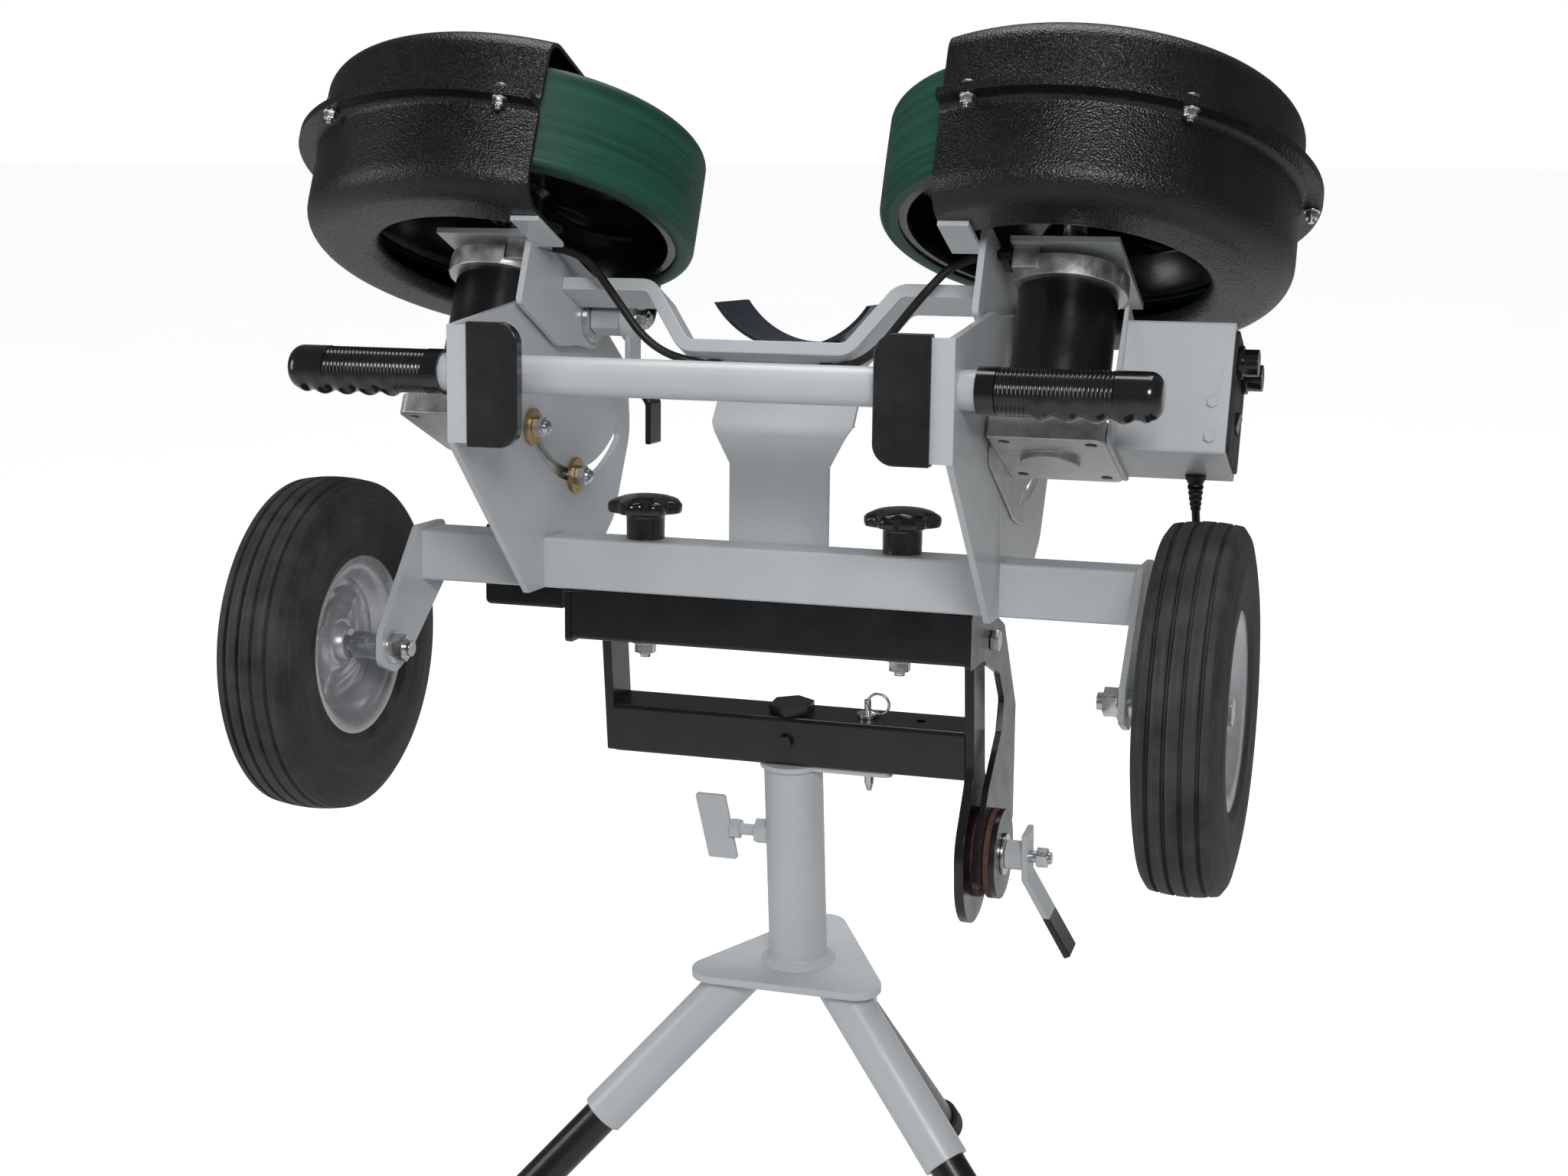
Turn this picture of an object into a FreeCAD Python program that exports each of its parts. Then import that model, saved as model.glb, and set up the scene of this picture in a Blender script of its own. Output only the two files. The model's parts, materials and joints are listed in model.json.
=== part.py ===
import FreeCAD, Part
import math
import os

# Two-wheel ball throwing machine on a tripod. Millimetres, +Z up, +Y the throwing direction, +X to the
# operator's right. The origin lies on the floor under the middle of the footprint.

V = FreeCAD.Vector

# ---- driving dimensions: stand ----
FOOT_AXIS = 19.86          # height of a leg's end point inside its foot
PLATE_T = 8.0
PLATE_CORNER = 138.0       # sharp corner radius of the triangular plate
PLATE_ROUND = 25.0
POST_R = 30.15
POST_WALL = 3.9
POST_HEIGHT = 216.0        # tripod plate to the top of the post
LEG_SLOPE = 43.0
LEG_START = 58.0           # where a leg axis meets the underside of the plate
LEG_LENGTH = 770.0         # along the axis, plate to foot centre
LEG_R = 19.05
LEG_WALL = 2.0
SLEEVE_WALL = 4.4
SLEEVE_LENGTH = 213.0
FOOT_R = 25.0
FOOT_GRIP = 40.0
SPINDLE_R = 19.0
TAB_T = 5.6
TAB_REACH = 108.0
CLAMP_BELOW = 78.0         # clamp screw below the top of the post

# ---- driving dimensions: yoke and tilt base ----
BAR = 50.8                 # square tube
BAR_WALL = 3.2
YOKE_HALF = 185.0          # half length of the swivel bar
YOKE_T = 9.5
PIVOT_RISE = 146.0         # tilt axis above the top of the post
CLAMP_DROP = 223.0         # tilt axis down to the friction clamp bolt
FRAME_TILT = 7.0           # front-down lean of the frame at rest
TILT_DOWN = 16.0
TILT_UP = 7.0
BOLT_R = 6.0
TILT_BAR_HALF = 200.3
TILT_T = 6.35
TILT_BAR_Y = -62.0
TILT_BAR_Z = 13.8
DISC_R = 45.0

# ---- driving dimensions: upper frame, in the frame's own axes about the tilt pivot ----
CROSSBAR_HALF = 361.0
CROSSBAR_Y = -68.0
SIDE_OUT = 233.0           # outer face of a side plate
SIDE_T = 6.35
FLANGE_Y = -290.0
FLANGE_LOW = 200.7
FLANGE_HIGH = 306.4
FLANGE_IN = 168.0
HANDLE_R = 17.4
HANDLE_Y = -262.0
HANDLE_Z = 262.0
HANDLE_HALF = 398.0
GRIP_R = 21.5
GRIP_LENGTH = 156.0
KNOB_X = 131.0
KNOB_R = 37.5
AXLE_Y = -158.0
AXLE_Z = -18.4
AXLE_R = 8.0
TYRE_R = 165.1
TYRE_W = 77.0
TYRE_GAP = 29.0            # end of the crossbar to the tyre
RIM_R = 84.0

# ---- driving dimensions: throwing head, in the head's own axes about its pivot ----
HEAD_PIVOT_Y = 2.0         # head pivot in the frame's axes
HEAD_PIVOT_Z = 301.5
HEAD_PITCH = 30.0          # front-down lean of the wheel plane at rest
SLOT_R = 159.0
HEAD_RANGE = 21.0
WHEEL_X = 283.0
WHEEL_Y = -72.0
WHEEL_Z = 113.0
TREAD_R = 182.0
TREAD_T = 18.0
TREAD_W = 100.0
SHELL_R = 200.0
SHELL_T = 4.0
SHELL_LOW = 93.0
SHELL_HIGH = 72.0
SHELL_LIP = 20.0
SHELL_MOUTH = 126.0
SHELL_CUT = 94.0           # cut plane of the shells, from the wheel axis towards the middle
HEAD_PLATE_IN = 216.3
MOTOR_R = 46.0
MOTOR_TOP = 8.0
MOTOR_LENGTH = 138.0
SHAFT_R = 11.0

GAP = 0.3                  # between faces of different bodies
RUN = 0.05                 # radial running clearance

# ---- heights and places that follow from them ----
SLOPE_COS = math.cos(math.radians(LEG_SLOPE))
SLOPE_SIN = math.sin(math.radians(LEG_SLOPE))
LEG_TOP = FOOT_AXIS + LEG_LENGTH * SLOPE_SIN
PLATE_TOP = LEG_TOP + PLATE_T
POST_TOP = PLATE_TOP + POST_HEIGHT
CLAMP_Z = POST_TOP - CLAMP_BELOW
PIVOT_Z = POST_TOP + PIVOT_RISE
TYRE_IN = CROSSBAR_HALF + TYRE_GAP


# ---- shape helpers ----
def box(x0, x1, y0, y1, z0, z1):
    return Part.makeBox(x1 - x0, y1 - y0, z1 - z0, V(x0, y0, z0))


def cyl(radius, start, end):
    axis = end - start
    return Part.makeCylinder(radius, axis.Length, start, axis)


def tube(outer, inner, start, end):
    return cyl(outer, start, end).cut(cyl(inner, start, end))


def along_x(radius, x0, x1, y, z):
    low, high = min(x0, x1), max(x0, x1)
    return cyl(radius, V(low, y, z), V(high, y, z))


def hexagon(flats, start, end):
    """A hexagonal prism of the given width across flats."""
    axis = end - start
    side = V(0, 0, 1) if abs(axis.z) < 0.5 * axis.Length else V(0, 1, 0)
    side = (side - axis * (side.dot(axis) / axis.dot(axis))).normalize()
    corner = side * (flats / math.sqrt(3))
    turn = [FreeCAD.Rotation(axis, 60 * i).multVec(corner) for i in range(6)]
    points = [start + t for t in turn]
    return Part.Face(Part.makePolygon(points + points[:1])).extrude(axis)


def rounded_wire(points, radii, closed=True):
    """Straight runs joined by tangent arcs of the given radii at the points."""
    count = len(points)
    corners = []
    for i, point in enumerate(points):
        if not closed and i in (0, count - 1):
            corners.append((point, None, point))
            continue
        back = (points[i - 1] - point).normalize()
        ahead = (points[(i + 1) % count] - point).normalize()
        half = back.getAngle(ahead) / 2
        if radii[i] <= 0 or half > math.pi / 2 - 1e-6:
            corners.append((point, None, point))
            continue
        reach = radii[i] / math.tan(half)
        bisector = (back + ahead).normalize()
        middle = point + bisector * (radii[i] / math.sin(half) - radii[i])
        corners.append((point + back * reach, middle, point + ahead * reach))
    edges = []
    for i, (start, middle, end) in enumerate(corners):
        if middle is not None:
            edges.append(Part.Arc(start, middle, end).toShape())
        if closed or i < count - 1:
            following = corners[(i + 1) % count][0]
            if end.distanceToPoint(following) > 1e-6:
                edges.append(Part.LineSegment(end, following).toShape())
    return Part.Wire(edges)


def plate_x(outline, x0, x1):
    """A plate lying in the YZ plane; the outline lists (y, z, corner radius)."""
    low, high = min(x0, x1), max(x0, x1)
    wire = rounded_wire([V(low, p[0], p[1]) for p in outline], [p[2] for p in outline])
    return Part.Face(wire).extrude(V(high - low, 0, 0))


def plate_z(outline, z0, z1):
    """A plate lying flat; the outline lists (x, y, corner radius)."""
    wire = rounded_wire([V(p[0], p[1], z0) for p in outline], [p[2] for p in outline])
    return Part.Face(wire).extrude(V(0, 0, z1 - z0))


def revolve_z(profile, x=0.0, y=0.0):
    """Turn a closed (radius, z) profile about a vertical axis."""
    points = [V(x + r, y, z) for r, z in profile]
    return Part.Face(Part.makePolygon(points + points[:1])).revolve(V(x, y, 0), V(0, 0, 1), 360)


def revolve_x(profile, y, z):
    """Turn a closed (x, radius) profile about an axis along X."""
    points = [V(px, y, z + r) for px, r in profile]
    return Part.Face(Part.makePolygon(points + points[:1])).revolve(V(0, y, z), V(1, 0, 0), 360)


def square_tube(x0, x1, y, z):
    half, inner = BAR / 2, BAR / 2 - BAR_WALL
    outside = box(x0, x1, y - half, y + half, z - half, z + half)
    long_edges = [e for e in outside.Edges if abs(e.tangentAt(e.FirstParameter).x) > 0.9]
    outside = outside.makeFillet(4.0, long_edges)
    return outside.cut(box(x0, x1, y - inner, y + inner, z - inner, z + inner))


def polar(radius, degrees):
    """(y, z) at an angle from straight down, positive towards the front."""
    a = math.radians(degrees)
    return radius * math.sin(a), -radius * math.cos(a)


def arc_slot(x0, x1, y, z, radius, start, end, half_width):
    """A curved slot about (y, z), from one angle to another, with round ends."""
    a, b, m = [polar(radius - half_width, d) for d in (start, end, (start + end) / 2)]
    c, d, n = [polar(radius + half_width, d) for d in (start, end, (start + end) / 2)]
    at = lambda p: V(x0, y + p[0], z + p[1])
    edges = [Part.Arc(at(a), at(m), at(b)).toShape(), Part.LineSegment(at(b), at(d)).toShape(),
             Part.Arc(at(d), at(n), at(c)).toShape(), Part.LineSegment(at(c), at(a)).toShape()]
    slot = Part.Face(Part.Wire(edges)).extrude(V(x1 - x0, 0, 0))
    for angle in (start, end):
        py, pz = polar(radius, angle)
        slot = slot.fuse(along_x(half_width, x0, x1, y + py, z + pz))
    return slot.removeSplitter()


def mirror(shape):
    return shape.mirror(V(0, 0, 0), V(1, 0, 0))


def both(shape):
    """A right-hand piece and its left-hand twin."""
    return [shape, mirror(shape)]


def joined(shapes):
    """One solid out of overlapping or touching shapes."""
    return shapes[0].multiFuse(shapes[1:]).removeSplitter()


def in_frame(shape):
    """From the frame's own axes to the floor's."""
    placed = shape.copy()
    placed.rotate(V(0, 0, 0), V(1, 0, 0), -FRAME_TILT)
    placed.translate(V(0, 0, PIVOT_Z))
    return placed


def in_head(shape):
    """From the head's own axes to the floor's."""
    placed = shape.copy()
    placed.rotate(V(0, 0, 0), V(1, 0, 0), FRAME_TILT - HEAD_PITCH)
    placed.translate(V(0, HEAD_PIVOT_Y, HEAD_PIVOT_Z))
    return in_frame(placed)


# ---- tripod ----
LEG_AZIMUTHS = (210, 330, 90)
FOOT_REACH = LEG_START + LEG_LENGTH * SLOPE_COS
ORIGIN_Y = (FOOT_REACH - FOOT_REACH * math.sin(math.radians(30))) / 2


def leg_point(azimuth, distance):
    """A point on a leg's axis, measured from the underside of the plate."""
    a = math.radians(azimuth)
    reach = LEG_START + distance * SLOPE_COS
    return V(reach * math.cos(a), reach * math.sin(a), LEG_TOP - distance * SLOPE_SIN)


def base_plate():
    corners = []
    for azimuth in LEG_AZIMUTHS:
        a = math.radians(azimuth)
        corners.append((PLATE_CORNER * math.cos(a), PLATE_CORNER * math.sin(a), PLATE_ROUND))
    return plate_z(corners, LEG_TOP, PLATE_TOP)


def post_tube():
    bore = POST_R - POST_WALL
    post = tube(POST_R, bore, V(0, 0, PLATE_TOP), V(0, 0, POST_TOP))
    weld = revolve_z([(POST_R - 1, PLATE_TOP), (POST_R + 9, PLATE_TOP), (POST_R - 1, PLATE_TOP + 9)])
    nut = hexagon(24, V(-POST_R - 12, 0, CLAMP_Z), V(-bore, 0, CLAMP_Z))
    nut = nut.cut(cyl(bore, V(0, 0, PLATE_TOP), V(0, 0, POST_TOP)))
    post = joined([post, weld, nut])
    return post.cut(along_x(BOLT_R + RUN, -POST_R - 20, 0, 0, CLAMP_Z))


def lock_tab():
    ring = cyl(POST_R + 4, V(0, 0, POST_TOP), V(0, 0, POST_TOP + TAB_T))
    tab = plate_z([(0, -20, 0), (TAB_REACH, -20, 6), (TAB_REACH, 20, 6), (0, 20, 0)],
                  POST_TOP, POST_TOP + TAB_T)
    bore = cyl(SPINDLE_R + GAP, V(0, 0, POST_TOP), V(0, 0, POST_TOP + TAB_T))
    pin = cyl(PIN_R + RUN, V(PIN_X, 0, POST_TOP), V(PIN_X, 0, POST_TOP + TAB_T))
    return joined([ring, tab]).cut(bore).cut(pin)


def post_bushing():
    bore = POST_R - POST_WALL
    bush = tube(bore, SPINDLE_R + RUN, V(0, 0, CLAMP_Z - 45), V(0, 0, POST_TOP))
    return bush.cut(along_x(BOLT_R + RUN, -POST_R, 0, 0, CLAMP_Z))


def leg_sleeves():
    sleeves = []
    for azimuth in LEG_AZIMUTHS:
        start, end = leg_point(azimuth, -40), leg_point(azimuth, SLEEVE_LENGTH)
        sleeve = tube(LEG_R + SLEEVE_WALL, LEG_R + RUN, start, end)
        sleeves.append(sleeve.cut(box(-300, 300, -300, 300, LEG_TOP, LEG_TOP + 200)))
    return sleeves


def leg_tubes():
    return [tube(LEG_R, LEG_R - LEG_WALL, leg_point(az, SLEEVE_LENGTH - 90), leg_point(az, LEG_LENGTH))
            for az in LEG_AZIMUTHS]


def feet():
    caps = []
    for azimuth in LEG_AZIMUTHS:
        end = leg_point(azimuth, LEG_LENGTH)
        cap = cyl(FOOT_R, leg_point(azimuth, LEG_LENGTH - FOOT_GRIP), end)
        cap = joined([cap, Part.makeSphere(FOOT_R, end)])
        cap = cap.cut(cyl(LEG_R, leg_point(azimuth, LEG_LENGTH - FOOT_GRIP - 5), end))
        caps.append(cap.cut(box(-900, 900, -900, 900, -100, 0)))
    return caps


def clamp_screw():
    """T-handle screw that pinches the spindle."""
    tip = -SPINDLE_R - GAP
    head = -POST_R - 39
    rod = along_x(BOLT_R, tip, head, 0, CLAMP_Z)
    collar = hexagon(19, V(head, 0, CLAMP_Z), V(head + 10, 0, CLAMP_Z))
    return joined([rod, collar])


def clamp_paddle():
    edge = -POST_R - 39
    outline = [(edge + 6, -34, 3), (edge - 6, 36, 3), (edge - 39, 36, 3), (edge - 26, -34, 3)]
    wire = rounded_wire([V(x, -2.5, CLAMP_Z + z) for x, z, r in outline], [r for x, z, r in outline])
    paddle = Part.Face(wire).extrude(V(0, 5, 0))
    return paddle.cut(hexagon(19, V(edge, 0, CLAMP_Z), V(edge + 10, 0, CLAMP_Z)))


# ---- swivel yoke ----
PIN_X = 80.0
PIN_R = 5.0
RING_R = 11.0              # ring through the pin's head
PIN_EYE = RING_R + 2.5     # its eye above the pin's flange seat
BAR_Z = POST_TOP + TAB_T + GAP + BAR / 2
CLAMP_BOLT_Z = PIVOT_Z - CLAMP_DROP
YOKE_OUT = YOKE_HALF + YOKE_T
TILT_OUT = TILT_BAR_HALF + TILT_T
DISC_T = 5.0
STACK = [YOKE_OUT, TILT_BAR_HALF, TILT_OUT + GAP, TILT_OUT + GAP + 6, TILT_OUT + GAP + 12, TILT_OUT + GAP + 15]
BOLT_END = STACK[5] + 46


def swivel_bar():
    bar = square_tube(-YOKE_HALF, YOKE_HALF, 0, BAR_Z)
    low, high = BAR_Z - BAR, BAR_Z + BAR
    bar = bar.cut(cyl(SPINDLE_R, V(0, 0, low), V(0, 0, high)))
    bar = bar.cut(cyl(PIN_R + RUN, V(PIN_X, 0, low), V(PIN_X, 0, high)))
    bar = bar.cut(cyl(PIN_R, V(PIN_X + 55, 0, BAR_Z), V(PIN_X + 55, 0, high)))
    return bar.cut(cyl(4, V(0, -BAR, BAR_Z), V(0, 0, BAR_Z)))


def swivel_plate_left():
    bottom = BAR_Z - BAR / 2
    outline = [(-24, PIVOT_Z + 24, 23.9), (24, PIVOT_Z + 24, 23.9), (24, bottom, 4), (-24, bottom, 4)]
    plate = plate_x(outline, -YOKE_HALF, -YOKE_OUT)
    return plate.cut(along_x(BOLT_R, -YOKE_HALF, -YOKE_OUT, 0, PIVOT_Z))


def swivel_plate_right():
    bottom = BAR_Z - BAR / 2
    lobe = CLAMP_BOLT_Z
    outline = [(-24, PIVOT_Z + 24, 23.9), (24, PIVOT_Z + 24, 23.9), (24, bottom - 6, 20), (46, bottom - 36, 20),
               (46, lobe - 66, 56), (-72, lobe - 66, 56), (-72, lobe + 30, 50), (-24, bottom + 4, 40)]
    plate = plate_x(outline, YOKE_HALF, YOKE_OUT)
    for z in (PIVOT_Z, lobe):
        plate = plate.cut(along_x(BOLT_R, YOKE_HALF, YOKE_OUT, 0, z))
    return plate


def spindle():
    top = BAR_Z + BAR / 2
    shaft = cyl(SPINDLE_R, V(0, 0, CLAMP_Z - 40), V(0, 0, top))
    head = hexagon(41, V(0, 0, top), V(0, 0, top + 9))
    body = joined([shaft, head]).cut(cyl(4, V(0, -SPINDLE_R, BAR_Z), V(0, 0, BAR_Z)))
    screw = joined([cyl(4, V(0, -BAR / 2, BAR_Z), V(0, 0, BAR_Z)),
                    cyl(8, V(0, -BAR / 2 - 6, BAR_Z), V(0, -BAR / 2, BAR_Z))])
    return [body, screw]


def swivel_fasteners():
    """Tilt pivot bolts with spacers, and the long bolt of the friction clamp."""
    pieces = []
    bolt = along_x(BOLT_R, YOKE_HALF - 12, TILT_OUT + GAP, 0, PIVOT_Z)
    head = hexagon(19, V(TILT_OUT + GAP, 0, PIVOT_Z), V(TILT_OUT + GAP + 8, 0, PIVOT_Z))
    nut = hexagon(19, V(YOKE_HALF - 11, 0, PIVOT_Z), V(YOKE_HALF, 0, PIVOT_Z))
    spacer = along_x(14, YOKE_OUT, TILT_BAR_HALF - GAP, 0, PIVOT_Z)
    pieces += both(joined([bolt, head, nut, spacer]))
    z = CLAMP_BOLT_Z
    long_bolt = along_x(BOLT_R, YOKE_HALF, BOLT_END, 0, z)
    head = hexagon(19, V(YOKE_HALF - 8, 0, z), V(YOKE_HALF, 0, z))
    washer = along_x(21, STACK[4], STACK[5], 0, z)
    nut = hexagon(19, V(BOLT_END - 15, 0, z), V(BOLT_END - 4, 0, z))
    pieces.append(joined([long_bolt, head, washer, nut]))
    return pieces


def friction_discs():
    inner = tube(DISC_R, BOLT_R, V(STACK[0], 0, CLAMP_BOLT_Z), V(STACK[1] - GAP, 0, CLAMP_BOLT_Z))
    outer = tube(DISC_R, BOLT_R, V(STACK[2], 0, CLAMP_BOLT_Z), V(STACK[3], 0, CLAMP_BOLT_Z))
    return [inner, outer]


def pressure_disc():
    return tube(DISC_R, BOLT_R, V(STACK[3], 0, CLAMP_BOLT_Z), V(STACK[4], 0, CLAMP_BOLT_Z))


def lock_pin():
    """Drop pin with a taper tip, and the ring through its head."""
    top = BAR_Z + BAR / 2 + GAP
    tip = POST_TOP - 22
    profile = [(0, tip), (2.5, tip), (PIN_R, tip + 9), (PIN_R, top), (11, top), (11, top + 4), (0, top + 4)]
    eye = top + PIN_EYE
    pin = joined([revolve_z(profile, PIN_X), cyl(3.5, V(PIN_X, 0, top), V(PIN_X, 0, eye + 4))])
    pin = pin.cut(cyl(1.6, V(PIN_X, -9, eye), V(PIN_X, 9, eye)))
    ring = Part.makeTorus(RING_R, 1.5, V(PIN_X + RING_R, 0, eye), V(0, 1, 0)).cut(pin)
    return [pin, ring]


def tilt_lever():
    """Hexagonal boss with a cranked handle plate."""
    z = CLAMP_BOLT_Z
    start = STACK[5] + GAP
    boss = hexagon(28, V(start, 0, z), V(start + 20, 0, z))
    x0, x1 = start + 18, start + 24
    path = [(x0, z + 28, 0), (x0, z - 20, 0), (x0 + 44, z - 100, 0), (x0 + 50, z - 97, 0), (x1, z - 18, 0),
            (x1, z + 28, 0)]
    wire = rounded_wire([V(x, -16, pz) for x, pz, r in path], [r for x, pz, r in path])
    arm = Part.Face(wire).extrude(V(0, 32, 0))
    lever = joined([boss, arm])
    return lever.cut(along_x(BOLT_R + RUN, start - 1, start + 30, 0, z))


# ---- tilt base and upper frame (frame axes) ----
CROSSBAR_Z = TILT_BAR_Z + BAR
SLOT_HALF = BOLT_R + 0.6
SLOT_FRONT = 37.0


def tilt_bar():
    bar = square_tube(-TILT_BAR_HALF, TILT_BAR_HALF, TILT_BAR_Y, TILT_BAR_Z)
    for x in (-KNOB_X, KNOB_X):
        bar = bar.cut(cyl(STUD_R + RUN, V(x, TILT_BAR_Y, TILT_BAR_Z - BAR), V(x, TILT_BAR_Y, TILT_BAR_Z + BAR)))
    return in_frame(bar)


def tilt_plate_left():
    rear, low, high = TILT_BAR_Y - 27, TILT_BAR_Z - 29, TILT_BAR_Z + BAR / 2
    outline = [(rear, low, 6), (-14, low, 8), (18, -18, 17.9), (18, 18, 17.9), (-30, high, 10), (rear, high, 4)]
    plate = plate_x(outline, -TILT_BAR_HALF, -TILT_OUT)
    return in_frame(plate.cut(along_x(BOLT_R + RUN, -TILT_BAR_HALF, -TILT_OUT, 0, 0)))


def tilt_sector():
    """Right-hand end plate with the curved slot of the friction clamp."""
    rear, low, high = TILT_BAR_Y - 27, TILT_BAR_Z - 29, TILT_BAR_Z + BAR / 2
    far = FRAME_TILT + TILT_DOWN + 8
    near = FRAME_TILT - TILT_UP - 8
    rim = CLAMP_DROP + 22
    fy, fz = polar(rim, far)
    ny, nz = polar(rim, near)
    iy, iz = polar(CLAMP_DROP - 24, near)
    edges_points = [V(0, ny, nz), V(0, iy, iz), V(0, 6, -150), V(0, 56, -104), V(0, 66, -72), V(0, 40, -40),
                    V(0, -30, low), V(0, rear, low), V(0, rear, high), V(0, -24, high), V(0, 60, 6),
                    V(0, 124, -88), V(0, fy, fz)]
    edges = [Part.LineSegment(a, b).toShape() for a, b in zip(edges_points, edges_points[1:])]
    my, mz = polar(rim, (far + near) / 2)
    edges.append(Part.Arc(V(0, fy, fz), V(0, my, mz), V(0, ny, nz)).toShape())
    plate = Part.Face(Part.Wire(edges)).extrude(V(TILT_T, 0, 0))
    upright = [e for e in plate.Edges if len(e.Vertexes) == 2 and abs(e.tangentAt(e.FirstParameter).x) > 0.9]
    plate = plate.makeFillet(7.0, upright)
    plate.translate(V(TILT_BAR_HALF, 0, 0))
    plate = plate.cut(along_x(BOLT_R + RUN, TILT_BAR_HALF, TILT_OUT, 0, 0))
    slot = arc_slot(TILT_BAR_HALF - 1, TILT_OUT + 1, 0, 0, CLAMP_DROP, FRAME_TILT - TILT_UP - 0.6,
                    FRAME_TILT + TILT_DOWN + 0.6, SLOT_HALF)
    return in_frame(plate.cut(slot))


STUD_R = 6.0
KNOB_BASE = CROSSBAR_Z + BAR / 2
STUD_LOW = TILT_BAR_Z - BAR / 2


def frame_fasteners():
    """Knob nuts under the tilt bar, the transport wheel bolts and the head pivot bolts."""
    pieces = []
    nut = hexagon(19, V(KNOB_X, TILT_BAR_Y, STUD_LOW - 13), V(KNOB_X, TILT_BAR_Y, STUD_LOW - 3))
    washer = cyl(14, V(KNOB_X, TILT_BAR_Y, STUD_LOW - 3), V(KNOB_X, TILT_BAR_Y, STUD_LOW))
    seat = joined([nut, washer])
    bore = cyl(STUD_R + RUN, V(KNOB_X, TILT_BAR_Y, STUD_LOW - 20), V(KNOB_X, TILT_BAR_Y, STUD_LOW))
    pieces += both(seat.cut(bore))
    inner, outer = CROSSBAR_HALF, TYRE_IN + TYRE_W
    axle = along_x(AXLE_R, inner - 22, outer - 12, AXLE_Y, AXLE_Z)
    head = hexagon(24, V(outer - 20, AXLE_Y, AXLE_Z), V(outer - 8, AXLE_Y, AXLE_Z))
    nut = hexagon(24, V(inner - 16, AXLE_Y, AXLE_Z), V(inner - 3, AXLE_Y, AXLE_Z))
    washer = along_x(16, inner - 3, inner, AXLE_Y, AXLE_Z)
    spacer = along_x(13, inner + SIDE_T, HUB_IN - GAP, AXLE_Y, AXLE_Z)
    pieces += both(joined([axle, head, nut, washer, spacer]))
    pin = along_x(BOLT_R, SIDE_OUT - SIDE_T, SIDE_OUT, HEAD_PIVOT_Y, HEAD_PIVOT_Z)
    collar = along_x(13, SIDE_OUT, SIDE_OUT + 3, HEAD_PIVOT_Y, HEAD_PIVOT_Z)
    stem = along_x(BOLT_R, HEAD_PLATE_IN - 6, SIDE_OUT, HEAD_PIVOT_Y, HEAD_PIVOT_Z)
    pieces.append(joined([pin, collar, stem]))
    stem = along_x(BOLT_R, 1 - SIDE_OUT, LOCK_END - HEAD_PLATE_IN, HEAD_PIVOT_Y, HEAD_PIVOT_Z)
    pieces.append(joined([mirror(collar), stem, mirror(pin)]))
    return [in_frame(p) for p in pieces]


HUB_IN = TYRE_IN + 12
LOCK_ROD = 40.0
LOCK_END = 66.0
WASHER_T = 4.0


def crossbar():
    bar = square_tube(-CROSSBAR_HALF, CROSSBAR_HALF, CROSSBAR_Y, CROSSBAR_Z)
    for x in (-KNOB_X, KNOB_X):
        bar = bar.cut(cyl(STUD_R + RUN, V(x, TILT_BAR_Y, CROSSBAR_Z - BAR), V(x, TILT_BAR_Y, CROSSBAR_Z + BAR)))
    return in_frame(bar)


def side_plate():
    """Right-hand side plate with its folded rear flange, the bar notch and the pitch slot."""
    bottom = CROSSBAR_Z - BAR / 2
    py, pz = HEAD_PIVOT_Y, HEAD_PIVOT_Z
    outline = [(FLANGE_Y, FLANGE_LOW, 0), (-129, bottom, 4), (20, bottom, 40), (92, bottom + 50, 50),
               (136, 175, 50), (128, 246, 40), (24, pz + 16, 40), (-100, pz + 16, 20), (-141, pz + 22, 20),
               (FLANGE_Y, FLANGE_HIGH, 0)]
    plate = plate_x(outline, SIDE_OUT - SIDE_T, SIDE_OUT)
    flange = box(FLANGE_IN, SIDE_OUT, FLANGE_Y, FLANGE_Y + SIDE_T, FLANGE_LOW, FLANGE_HIGH)
    inner_corners = [e for e in flange.Edges
                     if abs(e.tangentAt(e.FirstParameter).y) > 0.9 and e.CenterOfMass.x < FLANGE_IN + 1]
    plate = joined([plate, flange.makeFillet(16.0, inner_corners)])
    half = BAR / 2
    plate = plate.cut(box(0, 300, CROSSBAR_Y - half, CROSSBAR_Y + half, CROSSBAR_Z - half, CROSSBAR_Z + half))
    plate = plate.cut(along_x(HANDLE_R, 0, 300, HANDLE_Y, HANDLE_Z))
    plate = plate.cut(along_x(BOLT_R, 200, 300, py, pz))
    rear = SLOT_ANGLES[0] + FRAME_TILT - HEAD_PITCH - 0.6
    slot = arc_slot(SIDE_OUT - SIDE_T - 1, SIDE_OUT + 1, py, pz, SLOT_R, rear, SLOT_FRONT, SLOT_HALF)
    return plate.cut(slot)


def handlebar():
    bar = tube(HANDLE_R, HANDLE_R - 2.5, V(-HANDLE_HALF, HANDLE_Y, HANDLE_Z), V(HANDLE_HALF, HANDLE_Y, HANDLE_Z))
    return in_frame(bar)


def grips():
    end = HANDLE_HALF + 4.6
    start = end - GRIP_LENGTH
    grip = along_x(GRIP_R, start, end, HANDLE_Y, HANDLE_Z)
    grip = grip.makeFillet(6.0, [e for e in grip.Edges if e.CenterOfMass.x > end - 1])
    lobe = HANDLE_Z - GRIP_R + 1
    bumps = [cyl(7.5, V(x, HANDLE_Y - 9, lobe), V(x, HANDLE_Y + 9, lobe))
             for x in [start + 62 + i * 24 for i in range(4)]]
    grip = joined([grip] + bumps)
    grip = grip.cut(along_x(HANDLE_R, start - 1, HANDLE_HALF, HANDLE_Y, HANDLE_Z))
    return [in_frame(g) for g in both(grip)]


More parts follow.
